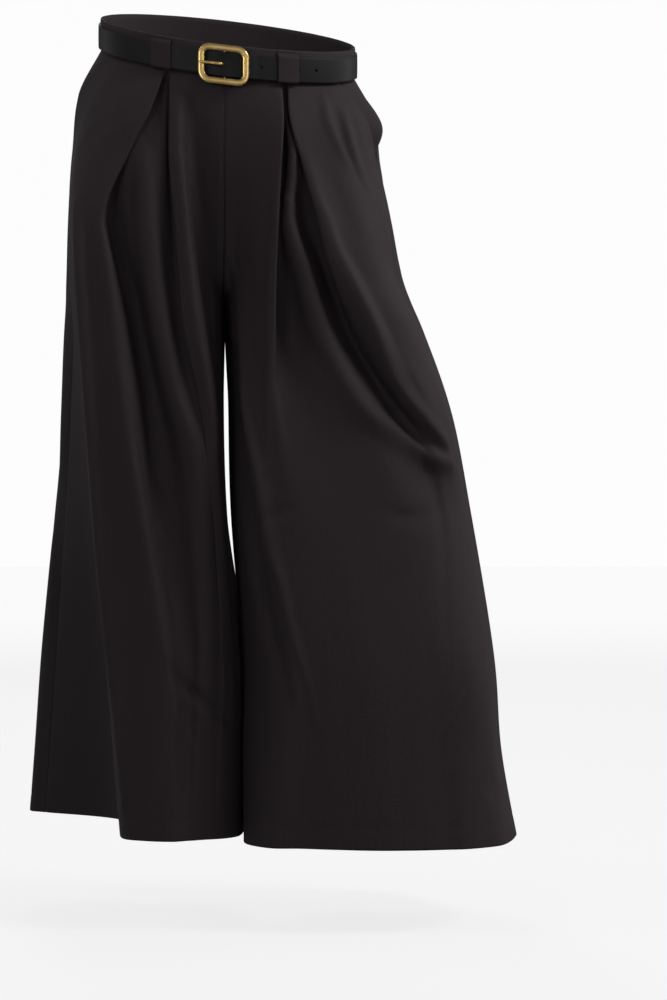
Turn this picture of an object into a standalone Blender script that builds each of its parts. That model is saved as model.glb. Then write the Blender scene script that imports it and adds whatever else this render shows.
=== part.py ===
"""Palazzo trousers with two inverted front pleats, worn on a general figure, with a leather belt.

Metres, +Z up. The wearer faces -Y, and their left is +X. The origin is the centre of the waist,
halfway up the waistband.
Every panel is a grid: named lines run down it from the waist to the hem, and a section across it
passes through all of them at each station.
"""

import bpy
import bmesh
import numpy as np
from mathutils import Vector

# Driving dimensions
mm = 0.001
waistHalfWidth = 164 * mm
waistHalfDepth = 100 * mm
bandHeight = 42 * mm
bandThick = 3 * mm
clothThick = 1.6 * mm
seamGap = 0.36 * mm
tiltForward = 0.33     # how much the waist drops towards the front, in metres a metre
tiltSide = -0.118      # how much it drops towards the wearer's left
hemHeight = {"left": -1021 * mm, "right": -1014 * mm}

strapHeight = 30 * mm
strapThick = 2.2 * mm
strapDrop = 2 * mm     # the strap's middle below the band's
loopWidth = 28 * mm
loopThick = 1.6 * mm
buckleWidth = 64 * mm
buckleHeight = 50 * mm
buckleBar = 8 * mm     # width of the frame's bars
buckleThick = 3.4 * mm
holePitch = 23 * mm
holeWidth = 4 * mm

# Stations down the panels: height, and the share of the waist's tilt that is left there
stations = (
    ("waist", -21, 1.0), ("mouth", -75, 0.7), ("hip", -143, 0.45), ("seat", -222, 0.2), ("fork", -300, 0.0),
    ("thigh", -370, 0.0), ("lower thigh", -470, 0.0), ("knee", -600, 0.0), ("calf", -800, 0.0),
    ("ankle", -910, 0.0),
    ("hem", None, 0.0),
)

# Each line: how many steps the section takes to the next line, then x and y in mm at the eleven stations.
# "tuck" lines lie behind the fold before or after them.
frontLines = {
    "right": (
        ("inner edge", 2,
         (0, 0, 0, 0, -2, -4, -6.5, -2.6, 16.5, 18, 19.5),
         (-100, -103, -99, -90, -70, -2, 5, 8, 12, 16, 20)),
        ("inner thigh", 2,
         (-8, -8, -8, -9, -9, -8, -5.5, -1.5, 16.5, 18, 19.5),
         (-100, -103, -99.5, -91, -81, -56, -50, -50, -48, -43, -38)),
        ("inner corner", 2,
         (-18, -18, -18, -18, -15, -12, -5, 0, 14, 15, 16),
         (-99.5, -103, -99.5, -91.5, -88, -88, -74, -80, -74, -68, -62)),
        ("centre panel", 2,
         (-40, -42, -43, -40, -32, -22, -9, -2, 9, 8.5, 8),
         (-96.5, -102.5, -101, -98, -97, -97, -91, -93, -84, -80, -76)),
        ("centre ridge", 2,
         (-58, -57.5, -54.5, -46.5, -38, -29.5, -15, -5, 3, 0, -3),
         (-93.5, -110, -121.5, -130, -133, -132, -119, -100, -90, -88, -86)),
        ("centre fold", 3,
         (-69.5, -69, -68.5, -62, -56, -50, -30, -14, -2, -6, -10),
         (-90, -106, -117, -124, -127.5, -128, -118, -103, -94, -92, -90)),
        ("centre tuck", 3,
         (-54, -54, -54, -50, -47, -42, -27, -15, -5, -9, -13),
         (-84, -103, -112, -117, -120, -122.5, -116, -102.5, -95, -93, -91.5)),
        ("groove", 2,
         (-66, -70, -70, -66, -62, -56, -34, -18, -9, -13.5, -18),
         (-80, -97, -106, -108, -112, -115, -115, -105, -97, -95.5, -94)),
        ("underlay ridge", 2,
         (-73, -75.5, -76, -78, -77, -70, -49, -27, -18, -25, -32),
         (-79, -99, -111, -117, -121, -123.5, -121, -110, -103, -102, -101)),
        ("underlay", 2,
         (-77, -84, -96, -100, -93, -84, -63, -40, -30, -35, -40),
         (-78.5, -96, -113, -119, -124, -125, -120, -110, -107, -106, -105)),
        ("underlay valley", 2,
         (-81, -94, -115, -124, -116, -102, -80, -62, -42, -44, -46),
         (-78, -95, -110, -99, -100, -101, -101, -102, -103, -105, -107)),
        ("outer tuck", 3,
         (-91, -107, -132, -148, -134, -116, -97, -83, -56, -55, -54),
         (-79, -96, -108, -99, -103, -104, -103, -107, -109, -110.5, -112)),
        ("outer fold", 3,
         (-76.5, -92.6, -122, -151.5, -140.9, -129.4, -115.6, -101, -69, -66, -64),
         (-88, -108, -115, -121, -130, -133, -133, -130, -121, -119, -117)),
        ("outer panel", 2,
         (-108, -132, -158, -171, -163, -154, -146, -132, -109, -103, -97),
         (-75, -93, -102, -114, -123, -127, -126, -122, -114, -111.5, -110)),
        ("wing fold", 3,
         (-130, -165, -186, -189, -183, -178.5, -172, -163.5, -145, -136, -127.5),
         (-61, -64, -70, -94, -106, -110, -110, -105, -95, -90, -86)),
        ("wing valley", 2,
         (-140, -178, -196, -199, -194, -187, -180, -172, -157, -152, -148),
         (-52, -40, -32, -46, -54, -56, -44, -12, 52, 80, 108)),
        ("outer edge", 0,
         (-147, -188, -201.5, -206.5, -206, -201, -206, -216.7, -236.8, -247.4, -258),
         (-44, -20, 0, 0, 0, 0, 20, 60, 130, 161.5, 193)),
    ),
    "left": (
        ("inner edge", 2,
         (0, 0, 0, 0, -2, -4, 1, 6, 26, 27, 28),
         (-100, -103, -99, -90, -70, -2, 3, 4, 5, -7.5, -20)),
        ("inner thigh", 2,
         (8, 8, 8, 8, 6, 5.5, 5, 9, 25, 25.5, 26),
         (-100, -103.5, -100, -91.5, -82, -58, -54, -58, -64, -72, -82)),
        ("inner corner", 2,
         (18, 17, 16, 15, 14, 17, 24, 47, 84, 72, 60),
         (-99.5, -104, -101, -93, -91, -100, -118, -129, -134, -130, -126)),
        ("centre panel", 2,
         (42, 42, 40, 38, 36, 36, 44, 66, 106, 98, 92),
         (-96.5, -106.5, -109, -107, -107, -112, -124, -132, -138, -134, -130)),
        ("centre fold", 3,
         (71, 74, 71.4, 68.3, 65.3, 64, 64, 88, 128, 126.5, 125),
         (-90, -112, -124, -130, -132, -132, -133, -136, -141, -139, -137)),
        ("centre tuck", 3,
         (56, 59, 57, 56, 56, 61, 74, 108, 146, 145.5, 145),
         (-83, -104, -113, -118, -119, -119, -129, -137, -142, -141.5, -141)),
        ("groove", 2,
         (68, 72, 75, 71, 77, 84, 98, 145, 175, 176.5, 178),
         (-79, -99, -101, -117, -110, -108, -126, -136, -144, -145.5, -147)),
        ("underlay", 2,
         (75, 78, 87, 83, 104, 127, 176, 222, 228, 229.5, 231),
         (-78, -102, -116, -127, -128, -130, -130, -128, -141, -144, -147)),
        ("underlay valley", 2,
         (82, 83, 97, 100, 124, 150, 210, 256, 262, 265, 268),
         (-77, -97, -108, -104, -104, -104, -104, -114, -136, -139, -142)),
        ("outer tuck", 3,
         (95, 98, 115, 132, 150, 166, 225, 270, 278, 282, 286),
         (-77, -97, -105, -106, -109, -107, -103, -104, -132, -135, -138)),
        ("outer fold", 3,
         (79.5, 83, 100.2, 120.9, 141, 171, 241, 281, 291, 296.5, 302),
         (-87, -109, -119, -128, -129, -118, -109, -98, -128, -131, -134)),
        ("outer panel", 2,
         (108, 110, 122, 139, 160, 195, 260, 294, 312, 319, 326),
         (-75.3, -99, -114, -125, -129, -123, -109, -80, -117, -118, -120)),
        ("wing fold", 3,
         (130, 146, 162, 179, 196, 230, 276, 303, 328, 337, 349),
         (-61, -84, -96, -106, -110, -105, -84, -56, -92, -96, -98)),
        ("wing valley", 2,
         (139, 166, 182, 200, 212, 246, 283, 308.5, 338, 347, 364),
         (-53, -66, -64, -58, -56, -50, -38, -26, -52, -54, -56)),
        ("outer edge", 0,
         (145.5, 180, 194, 209, 218, 252, 288.5, 314.5, 346, 353.5, 374.5),
         (-46, -46, -18, -10, -10, 0, 5, 8, 0, 2, 0)),
    ),
}
backLines = {
    "right": (
        ("side seam", 1,
         (-164, -193, -201.5, -206.5, -206, -201, -206, -216.7, -236.8, -247.4, -258),
         (2, 0, 0, 0, 0, 0, 20, 60, 130, 161.5, 193)),
        ("side", 2,
         (-158, -191, -202, -208.5, -212, -215.5, -221, -233.5, -259, -270, -281),
         (27, 32, 32, 32, 32, 24, 36, 80, 150, 181.5, 213)),
        ("outer back", 2,
         (-135, -165, -183, -190, -192, -196, -202, -212, -228, -234, -240),
         (57, 75, 80, 88, 95, 97, 110, 150, 215, 241.5, 268)),
        ("outer ridge", 2,
         (-105, -130, -148, -155, -158, -160, -165, -170, -176, -180.5, -185),
         (77, 98, 112, 122, 130, 138, 158, 195, 252, 276, 300)),
        ("valley", 2,
         (-75, -95, -108, -115, -118, -120, -120, -122, -122, -123.5, -125),
         (89, 112, 124, 132, 137, 144, 160, 188, 232, 250, 268)),
        ("inner ridge", 2,
         (-45, -55, -64, -68, -70, -72, -74, -74, -70, -71, -72),
         (96, 121, 135, 143, 148, 152, 165, 188, 225, 243.5, 262)),
        ("inner corner", 2,
         (-22, -25, -28, -30, -28, -26, -24, -22, -10, -11, -12),
         (99, 124, 138, 144, 146, 145, 150, 162, 185, 196.5, 208)),
        ("inner thigh", 2,
         (-10, -10, -11, -10, -9, -12, -11.5, -7.5, 21, 21.2, 21.5),
         (100, 125, 139, 140, 122, 68, 75, 80, 100, 109, 118)),
        ("inner edge", 0,
         (0, 0, 0, 0, -2, -4, -6.5, -2.6, 16.5, 18, 19.5),
         (100, 125, 138, 134, 96, -2, 5, 8, 12, 16, 20)),
    ),
    "left": (
        ("side seam", 1,
         (164, 190, 194, 209, 218, 252, 288.5, 314.5, 346, 353.5, 374.5),
         (2, 0, -18, -10, -10, 0, 5, 8, 0, 2, 0)),
        ("side", 2,
         (158, 187, 197, 212, 228, 256, 290, 315, 346, 355, 372),
         (27, 32, 30, 28, 24, 32, 42, 48, 48, 50, 52)),
        ("outer back", 2,
         (135, 162, 176, 190, 206, 226, 252, 276, 304, 318, 332),
         (57, 76, 85, 92, 96, 102, 108, 115, 125, 131.5, 138)),
        ("outer ridge", 2,
         (105, 130, 145, 155, 167, 182, 200, 222, 248, 260, 272),
         (77, 99, 114, 126, 134, 142, 150, 160, 178, 189, 200)),
        ("valley", 2,
         (75, 94, 105, 112, 119, 130, 146, 165, 188, 199, 210),
         (89, 112, 126, 134, 139, 144, 148, 154, 165, 171.5, 178)),
        ("inner ridge", 2,
         (45, 55, 64, 69, 72, 80, 92, 106, 125, 133.5, 142),
         (96, 121, 135, 143, 147, 149, 154, 162, 178, 187, 196)),
        ("inner corner", 2,
         (22, 25, 28, 30, 29, 30, 36, 48, 66, 69, 72),
         (99, 124, 138, 144, 146, 140, 138, 140, 146, 148, 150)),
        ("inner thigh", 2,
         (10, 10, 11, 10, 6, 1, 3.5, 13, 32, 35, 38),
         (100, 125, 139, 140, 122, 68, 70, 75, 80, 75, 70)),
        ("inner edge", 0,
         (0, 0, 0, 0, -2, -4, 1, 6, 26, 27, 28),
         (100, 125, 138, 134, 96, -2, 3, 4, 5, -7.5, -20)),
    ),
}
# Heights in mm that differ from the station's, where the rows bend down along the crotch seam
forkHeights = {
    "front": {
        "inner edge": {4: -322, 5: -345, 6: -462},
        "inner thigh": {4: -311, 5: -355, 6: -466},
    },
    "back": {
        "inner edge": {3: -226, 4: -315, 5: -345, 6: -462},
        "inner thigh": {4: -304, 5: -355, 6: -466},
    },
}
rowSteps = (2, 2, 2, 2, 3, 2, 2, 2, 2, 2)
# The facing in each pocket: x and y in mm at its top, middle and bottom
facingLines = {
    "right": (
        ("below front", (-130, -54), (-163, -46), (-184, -27)),
        ("mouth", (-152, -33), (-184, -19), (-190, -14)),
        ("bulge", (-159, -17), (-191, -9), (-193.5, -8)),
        ("seam", (-163.5, 1), (-193, -1), (-195.5, -2.5)),
    ),
    "left": (
        ("below front", (131, -54), (158, -63), (178, -50)),
        ("mouth", (151.5, -33), (175, -41), (180, -36)),
        ("bulge", (159, -17), (200, -20), (188, -26)),
        ("seam", (163.5, 1), (192, -4), (190, -18)),
    ),
}
facingHeights = {"right": (-21, -75, -112), "left": (-21, -84, -126)}
facingTilts = (1.0, 0.7, 0.55)
# The crotch seam's x at the rows of the seat, the fork and the thigh: it leans, as the wearer walks
crotchLean = ((6, 8, 11), (0, -2 * mm, -4 * mm))


def splineThrough(points, steps):
    """Centripetal Catmull-Rom along axis -2: steps[i] samples in interval i, then the end."""
    first = 2 * points[..., :1, :] - points[..., 1:2, :]
    last = 2 * points[..., -1:, :] - points[..., -2:-1, :]
    padded = np.concatenate([first, points, last], axis=-2)
    chords = np.sqrt(np.linalg.norm(np.diff(padded, axis=-2), axis=-1, keepdims=True)) + 1e-6
    out = []
    for i, count in enumerate(steps):
        p0, p1, p2, p3 = (padded[..., i + k:i + k + 1, :] for k in range(4))
        c0, c1, c2 = (chords[..., i + k:i + k + 1, :] for k in range(3))
        m1 = c1 * ((p1 - p0) / c0 - (p2 - p0) / (c0 + c1) + (p2 - p1) / c1)
        m2 = c1 * ((p2 - p1) / c1 - (p3 - p1) / (c1 + c2) + (p3 - p2) / c2)
        t = (np.arange(count) / count)[:, None]
        start = (2 * t**3 - 3 * t**2 + 1) * p1 + (t**3 - 2 * t**2 + t) * m1
        out.append(start + (3 * t**2 - 2 * t**3) * p2 + (t**3 - t**2) * m2)
    out.append(points[..., -1:, :])
    return np.concatenate(out, axis=-2)


def tilt(x, y):
    return tiltForward * y + tiltSide * x


def panelGrid(lines, side, heights):
    """The panel's outer surface as rows down and columns across."""
    keys = []
    for name, _, xs, ys in lines:
        zs = np.array([hemHeight[side] / mm if z is None else z for _, z, _ in stations], float)
        for station, height in heights.get(name, {}).items():
            zs[station] = height
        share = np.array([w for _, _, w in stations])
        x, y = np.array(xs, float), np.array(ys, float)
        keys.append(np.stack([x, y, zs + share * tilt(x, y)], axis=-1) * mm)
    down = splineThrough(np.array(keys), rowSteps)
    return splineThrough(down.transpose(1, 0, 2), [line[1] for line in lines[:-1]])


def normalsOf(grid, flip):
    across, down = np.gradient(grid, axis=1), np.gradient(grid, axis=0)
    normals = np.cross(across, down) * flip
    return normals / np.linalg.norm(normals, axis=-1, keepdims=True)


def shell(name, grid, normals, thick, material):
    """A closed sheet between the grid and the same grid moved in by its thickness."""
    rows, cols = grid.shape[:2]
    points = np.concatenate([grid.reshape(-1, 3), (grid - normals * thick).reshape(-1, 3)])
    index = np.arange(rows * cols).reshape(rows, cols)
    quads = np.stack([index[:-1, :-1], index[1:, :-1], index[1:, 1:], index[:-1, 1:]], axis=-1)
    quads = quads.reshape(-1, 4)
    # Both walls are split along the same, shorter diagonal, so that they stay apart in twisted quads
    spans = np.linalg.norm(points[quads[:, :2]] - points[quads[:, 2:]], axis=-1)
    turned = spans[:, 0] > spans[:, 1]
    quads[turned] = np.roll(quads[turned], 1, axis=1)
    halves = quads[:, [0, 1, 2, 0, 2, 3]].reshape(-1, 3)
    rim = np.concatenate([index[0, :-1], index[:-1, -1], index[-1, :0:-1], index[:0:-1, 0]])
    after = np.roll(rim, -1)
    below = rows * cols
    walls = np.stack([rim, after, after + below, rim + below], axis=-1)
    return meshObject(name, points, [*halves, *(halves[:, ::-1] + below), *walls], material)


def meshObject(name, points, faces, material):
    mesh = bpy.data.meshes.new(name)
    mesh.from_pydata(points.tolist(), [], [list(map(int, face)) for face in faces])
    mesh.update()
    built = bmesh.new()
    built.from_mesh(mesh)
    bmesh.ops.recalc_face_normals(built, faces=built.faces)
    built.to_mesh(mesh)
    built.free()
    mesh.materials.append(material)
    thing = bpy.data.objects.new(name, mesh)
    bpy.context.scene.collection.objects.link(thing)
    return thing


def makeMaterial(name, colour, roughness, metallic):
    material = bpy.data.materials.new(name)
    material.use_nodes = True
    shader = material.node_tree.nodes["Principled BSDF"]
    shader.inputs["Base Color"].default_value = (*colour, 1)
    shader.inputs["Roughness"].default_value = roughness
    shader.inputs["Metallic"].default_value = metallic
    material.diffuse_color = (*colour, 1)
    return material


def pulled(grid, edges):
    """The grid with the named edges moved half a seam's gap towards their neighbours."""
    grid = grid.copy()
    for edge, inner in ((0, 1), (-1, -2)):
        if edge in edges:
            step = grid[:, inner] - grid[:, edge]
            grid[:, edge] += step / np.linalg.norm(step, axis=-1, keepdims=True) * seamGap / 2
    return grid


def makeLeg(side, cloth):
    sign = 1 if side == "left" else -1
    front = panelGrid(frontLines[side], side, forkHeights["front"])
    back = panelGrid(backLines[side], side, forkHeights["back"])
    # The side seam is one line from the hip down, and the inseam from the fork down
    fork, hip = sum(rowSteps[:5]), sum(rowSteps[:2])
    for rows, a, b in ((slice(fork, None), 0, -1), (slice(hip, None), -1, 0)):
        front[rows, a] = back[rows, b] = (front[rows, a] + back[rows, b]) / 2
    frontNormals, backNormals = normalsOf(front, -sign), normalsOf(back, -sign)
    # Both sides of a seam are moved in along the same normal, so the gap stays even through the cloth
    for rows, a, b in ((slice(fork, None), 0, -1), (slice(hip, None), -1, 0)):
        mean = frontNormals[rows, a] + backNormals[rows, b]
        mean /= np.linalg.norm(mean, axis=-1, keepdims=True)
        frontNormals[rows, a], backNormals[rows, b] = mean, mean
    for normals, edge in ((frontNormals, 0), (backNormals, -1)):
        normals[:fork, edge, 0] = np.maximum(0, -sign * normals[:fork, edge, 0]) * -sign
        normals[:fork, edge] /= np.linalg.norm(normals[:fork, edge], axis=-1, keepdims=True)
    front, back = pulled(front, (0, -1)), pulled(back, (0, -1))
    for grid, normals in ((front, frontNormals), (back, backNormals)):
        grid[0, :, 2] -= bandHeight / 2 - 21 * mm + seamGap
        # keeps the cloth's inner edge in the waist's plane too
        normals[0, :, 2] = tilt(normals[0, :, 0], normals[0, :, 1])
    for grid, edge in ((front, 0), (back, -1)):
        grid[:fork + 1, edge, 0] = np.interp(np.arange(fork + 1), *crotchLean) + sign * seamGap / 2
    shell("front_" + side, front, frontNormals, clothThick, cloth)
    shell("back_" + side, back, backNormals, clothThick, cloth)
    makeFacing(side, sign, cloth)


def makeFacing(side, sign, cloth):
    """The hip piece behind the pocket's mouth: three lines from the waist to the mouth's end."""
    lines = []
    for _, *line in facingLines[side]:
        x, y = np.array(line, float).T
        z = np.array(facingHeights[side], float) + np.array(facingTilts) * tilt(x, y)
        lines.append(np.stack([x, y, z], axis=-1) * mm)
    down = splineThrough(np.array(lines), (4, 4))
    grid = splineThrough(down.transpose(1, 0, 2), (3, 2, 3))
    grid[0, :, 2] -= seamGap
    normals = normalsOf(grid, -sign)
    normals[0, :, 2] = tilt(normals[0, :, 0], normals[0, :, 1])
    grid[:, -1, 1] -= seamGap
    shell("pocket_facing_" + side, grid, normals, clothThick, cloth)


def waistPoint(angle, out):
    """The waist ring's point at this angle from the front, moved out, and the outward direction there."""
    x, y = waistHalfWidth * np.sin(angle), -waistHalfDepth * np.cos(angle)
    normal = np.stack([x / waistHalfWidth**2, y / waistHalfDepth**2], axis=-1)
    normal /= np.linalg.norm(normal, axis=-1, keepdims=True)
    return np.stack([x, y], axis=-1) + normal * np.asarray(out)[..., None], normal


def angleAt(x):
    """The front angle whose ring point has this x."""
    return float(np.arcsin(x / waistHalfWidth))


def sweep(name, centres, normals, heights, middle, thick, material, closed, bevel=0.6 * mm):
    """A flat strip on edge: a rounded rectangle carried along centres in plan, with the waist's tilt."""
    count = len(centres)
    halfThick = thick / 2
    points = []
    for out, up in ((-1, -1), (1, -1), (1, 1), (-1, 1)):
        for first in (True, False):
            onSide = first == (out == up)
            across = out * (halfThick - (0 if onSide else bevel))
            rise = up * (heights / 2 - (bevel if onSide else 0))
            plan = centres + normals * across
            heightOf = tilt(plan[:, 0], plan[:, 1]) + middle + rise
            points.append(np.concatenate([plan, heightOf[:, None]], axis=1))
    ring = np.stack(points, axis=1)
    sides = ring.shape[1]
    index = np.arange(count * sides).reshape(count, sides)
    after = np.roll(index, -1, axis=0) if closed else index[1:]
    before = index if closed else index[:-1]
    quads = np.stack([before, np.roll(before, -1, axis=1), np.roll(after, -1, axis=1), after], axis=-1)
    faces = [tuple(q) for q in quads.reshape(-1, 4)]
    if not closed:
        faces += [tuple(index[0]), tuple(index[-1][::-1])]
    return meshObject(name, ring.reshape(-1, 3), faces, material)


# Belt: distances out from the waist ring to the middle of each leather layer
restOut = 3.2 * mm
barRadius = 1.3 * mm
foldOut = 2.9 * mm
turnRadius = barRadius + 0.2 * mm + strapThick / 2
barOut = foldOut + turnRadius
buckleX = -1 * mm
barX = buckleX + 1 * mm
foldLength = 26 * mm
tipX = 146 * mm


def makeBelt(leather, gold):
    """One strap in plan: its fold-back, the turn round the bar, round the waist, over the bar to the tip."""
    barAngle = angleAt(barX)
    perRadian = waistHalfWidth
    turnAngles = np.linspace(0, np.pi, 7)
    layerUp = foldOut + strapThick + 0.4 * mm
    # (angle along the waist, distance out) of the strap's middle
    path = [(barAngle + foldLength / perRadian, foldOut), (barAngle + foldLength * 0.5 / perRadian, foldOut)]
    aside, out = -turnRadius * np.sin(turnAngles) / perRadian, barOut - turnRadius * np.cos(turnAngles)
    path += list(zip(barAngle + aside, out))
    path += [(barAngle + d * mm / perRadian, out) for d, out in (
        (5, barOut + turnRadius * 0.75), (10, layerUp + 0.7 * mm), (15, layerUp), (23, layerUp),
        (31, layerUp - 1.2 * mm), (38, restOut))]
    start, end = barAngle + 50 * mm / perRadian, 2 * np.pi + barAngle - 42 * mm / perRadian
    path += [(a, restOut) for a in np.linspace(start, end, 62)]
    full = 2 * np.pi + barAngle
    over = barOut + turnRadius + strapThick + 0.4 * mm
    path += [(full + d * mm / perRadian, out) for d, out in (
        (-33, restOut + 0.6 * mm), (-25, restOut + 2.2 * mm), (-17, over - 2.4 * mm), (-9, over - 0.5 * mm),
        (-2, over), (3, over - 0.3 * mm), (9, layerUp + strapThick + 1.5 * mm),
        (16, layerUp + strapThick + 0.5 * mm), (24, layerUp + strapThick + 0.4 * mm),
        (33, layerUp + strapThick - 0.4 * mm), (41, restOut + strapThick + 0.5 * mm))]
    tipAngle = 2 * np.pi + angleAt(tipX)
    freeOut = restOut + strapThick + 0.4 * mm
    path += [(a, freeOut) for a in np.linspace(full + 50 * mm / perRadian, tipAngle - 0.09, 9)]
    path += [(tipAngle + d, freeOut) for d in (-0.065, -0.045, -0.028, -0.015, -0.005, 0)]
    path = np.array(path)
    centres, _ = waistPoint(path[:, 0], path[:, 1])
    along = np.gradient(centres, axis=0)
    along /= np.linalg.norm(along, axis=1, keepdims=True)
    normals = np.stack([along[:, 1], -along[:, 0]], axis=1)
    heights = np.full(len(path), strapHeight)
    heights[-6:] *= (0.97, 0.9, 0.78, 0.62, 0.42, 0.24)
    strap = sweep("belt_strap", centres, normals, heights, -strapDrop, strapThick, leather, False)
    # The holes of the free end, one of them round the prong
    slot = cutter("slot_cutter", barX - 1.5 * mm, over - 6 * mm, 16 * mm, (7 * mm, 22 * mm, 6 * mm), -3 * mm)
    cut(strap, slot)
    for k in range(1, 6):
        out = restOut + strapThick * 1.5 + 2 * mm
        cut(strap, cutter(f"hole_cutter_{k}", barX + k * holePitch, out, 6 * mm, None))
    makeBuckle(gold, over)


def placed(x, out, up=0.0):
    """A point in front of the waist at this x and distance out, and the outward direction there."""
    plan, normal = waistPoint(np.array(angleAt(x)), out)
    point = Vector((plan[0], plan[1], tilt(plan[0], plan[1]) - strapDrop + up))
    return point, Vector((normal[0], normal[1], 0))


def cutter(name, x, out, depth, box, up=0.0):
    """A box, or a round punch when box is None, that points outwards through the free end. It's hidden."""
    centre, normal = placed(x, out, up)
    built = bmesh.new()
    if box:
        bmesh.ops.create_cube(built, size=1)
        bmesh.ops.scale(built, vec=(box[0], box[2], box[1]), verts=built.verts)
    else:
        radius = holeWidth / 2
        bmesh.ops.create_cone(built, cap_ends=True, segments=14, radius1=radius, radius2=radius, depth=depth)
    mesh = bpy.data.meshes.new(name)
    built.to_mesh(mesh)
    built.free()
    thing = bpy.data.objects.new(name, mesh)
    thing.rotation_mode = "QUATERNION"
    thing.rotation_quaternion = normal.to_track_quat("Z", "Y")
    thing.location = centre
    bpy.context.scene.collection.objects.link(thing)
    thing.hide_render = True
    return thing


def cut(thing, tool):
    modifier = thing.modifiers.new(tool.name, "BOOLEAN")
    modifier.operation = "DIFFERENCE"
    modifier.solver = "EXACT"
    modifier.object = tool


def tube(name, path, radii, material, sides=10, flat=1.0, closed=False):
    """A rod along a path. flat scales it along Y."""
    path, radii = np.array(path, float), np.array(radii, float)
    along = (np.roll(path, -1, 0) - np.roll(path, 1, 0)) if closed else np.gradient(path, axis=0)
    along /= np.linalg.norm(along, axis=1, keepdims=True)
    aside = np.cross(along, (0.0, 1.0, 0.0))
    aside /= np.linalg.norm(aside, axis=1, keepdims=True)
    other = np.cross(aside, along)
    turn = (np.linspace(0, 2 * np.pi, sides, endpoint=False) + np.pi / sides)[:, None]
    spokes = aside[:, None] * np.cos(turn) + flat * other[:, None] * np.sin(turn)
    ring = path[:, None] + radii[:, None, None] * spokes
    index = np.arange(len(path) * sides).reshape(len(path), sides)
    before, after = (index, np.roll(index, -1, 0)) if closed else (index[:-1], index[1:])
    faces = np.stack([before, np.roll(before, -1, 1), np.roll(after, -1, 1), after], axis=-1).reshape(-1, 4)
    faces = [tuple(f) for f in faces] + ([] if closed else [tuple(index[0]), tuple(index[-1][::-1])])
    return meshObject(name, ring.reshape(-1, 3), faces, material)


def makeBuckle(gold, over):
    """A plain rounded frame before the free end, its bar behind, a prong on the frame's far side."""
    frameOut = over + strapThick / 2 + 0.5 * mm + buckleThick / 2
    middle, _ = placed(buckleX, frameOut)
    halfWide, halfHigh, corner = (buckleWidth - buckleBar) / 2, (buckleHeight - buckleBar) / 2, 11 * mm
    outline = []
    for cx, cz, start in ((1, 1, 0), (-1, 1, 90), (-1, -1, 180), (1, -1, 270)):
        for a in np.radians(np.linspace(start, start + 90, 6)):
            outline.append((cx * (halfWide - corner) + corner * np.cos(a),
                            cz * (halfHigh - corner) + corner * np.sin(a)))
    outline = np.array(outline)
    x = middle.x + outline[:, 0]
    curved = middle.y + (outline[:, 0] ** 2) / (2 * 0.42)
    z = middle.z + outline[:, 1] + tiltSide * outline[:, 0]
    path, radii = np.stack([x, curved, z], axis=1), np.full(len(outline), buckleBar / 2)
    frame = tube("buckle_frame", path, radii, gold, 10, buckleThick / buckleBar, True)
    bar, _ = placed(barX, barOut)
    reach = halfHigh
    top = bar.z + reach
    rod = [(bar.x, middle.y, top), (bar.x, bar.y - 3 * mm, top - 0.2 * mm),
           (bar.x, bar.y - 0.8 * mm, top - 0.9 * mm), (bar.x, bar.y, top - 2.8 * mm), (bar.x, bar.y, bar.z)]
    rod += [(px, py, 2 * bar.z - pz) for px, py, pz in rod[-2::-1]]
    rod = np.array(rod)
    rod[:, 2] += middle.z - bar.z
    # the rod turns in the plane x = constant, so its sections are laid out with X as their fixed direction
    along = np.gradient(rod, axis=0)
    along /= np.linalg.norm(along, axis=1, keepdims=True)
    aside = np.tile((1.0, 0.0, 0.0), (len(rod), 1))
    other = np.cross(aside, along)
    turn = np.linspace(0, 2 * np.pi, 10, endpoint=False)[:, None]
    ring = rod[:, None] + barRadius * (aside[:, None] * np.cos(turn) + other[:, None] * np.sin(turn))
    index = np.arange(len(rod) * 10).reshape(len(rod), 10)
    faces = np.stack([index[:-1], np.roll(index[:-1], -1, 1), np.roll(index[1:], -1, 1), index[1:]], axis=-1)
    faces = [tuple(f) for f in faces.reshape(-1, 4)] + [tuple(index[0]), tuple(index[-1][::-1])]
    barMesh = meshObject("bar_tool", ring.reshape(-1, 3), faces, gold)
    barMesh.hide_render = True
    join = frame.modifiers.new("bar", "BOOLEAN")
    join.operation = "UNION"
    join.solver = "EXACT"
    join.object = barMesh
    front = middle.y - buckleThick / 2
    left = middle.x - halfWide
    leftFront = front + halfWide**2 / (2 * 0.42)
    barFront = bar.y - barRadius
    prong = [(bar.x - 0.6 * mm, barFront - 1.6 * mm), (bar.x - 1.6 * mm, barFront - 5.5 * mm),
             (bar.x - 4.5 * mm, front - 1.2 * mm), (bar.x - 9 * mm, front - 2.2 * mm),
             (bar.x - 16 * mm, leftFront - 2.6 * mm), (left + 4 * mm, leftFront - 1.95 * mm),
             (left - 2.5 * mm, leftFront - 1.5 * mm)]
    path = [(px, py, middle.z - tiltSide * (middle.x - px)) for px, py in prong]
    tube("buckle_prong", path, np.array([1.5, 1.6, 1.7, 1.8, 1.7, 1.55, 1.1]) * mm, gold, 8)


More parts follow.
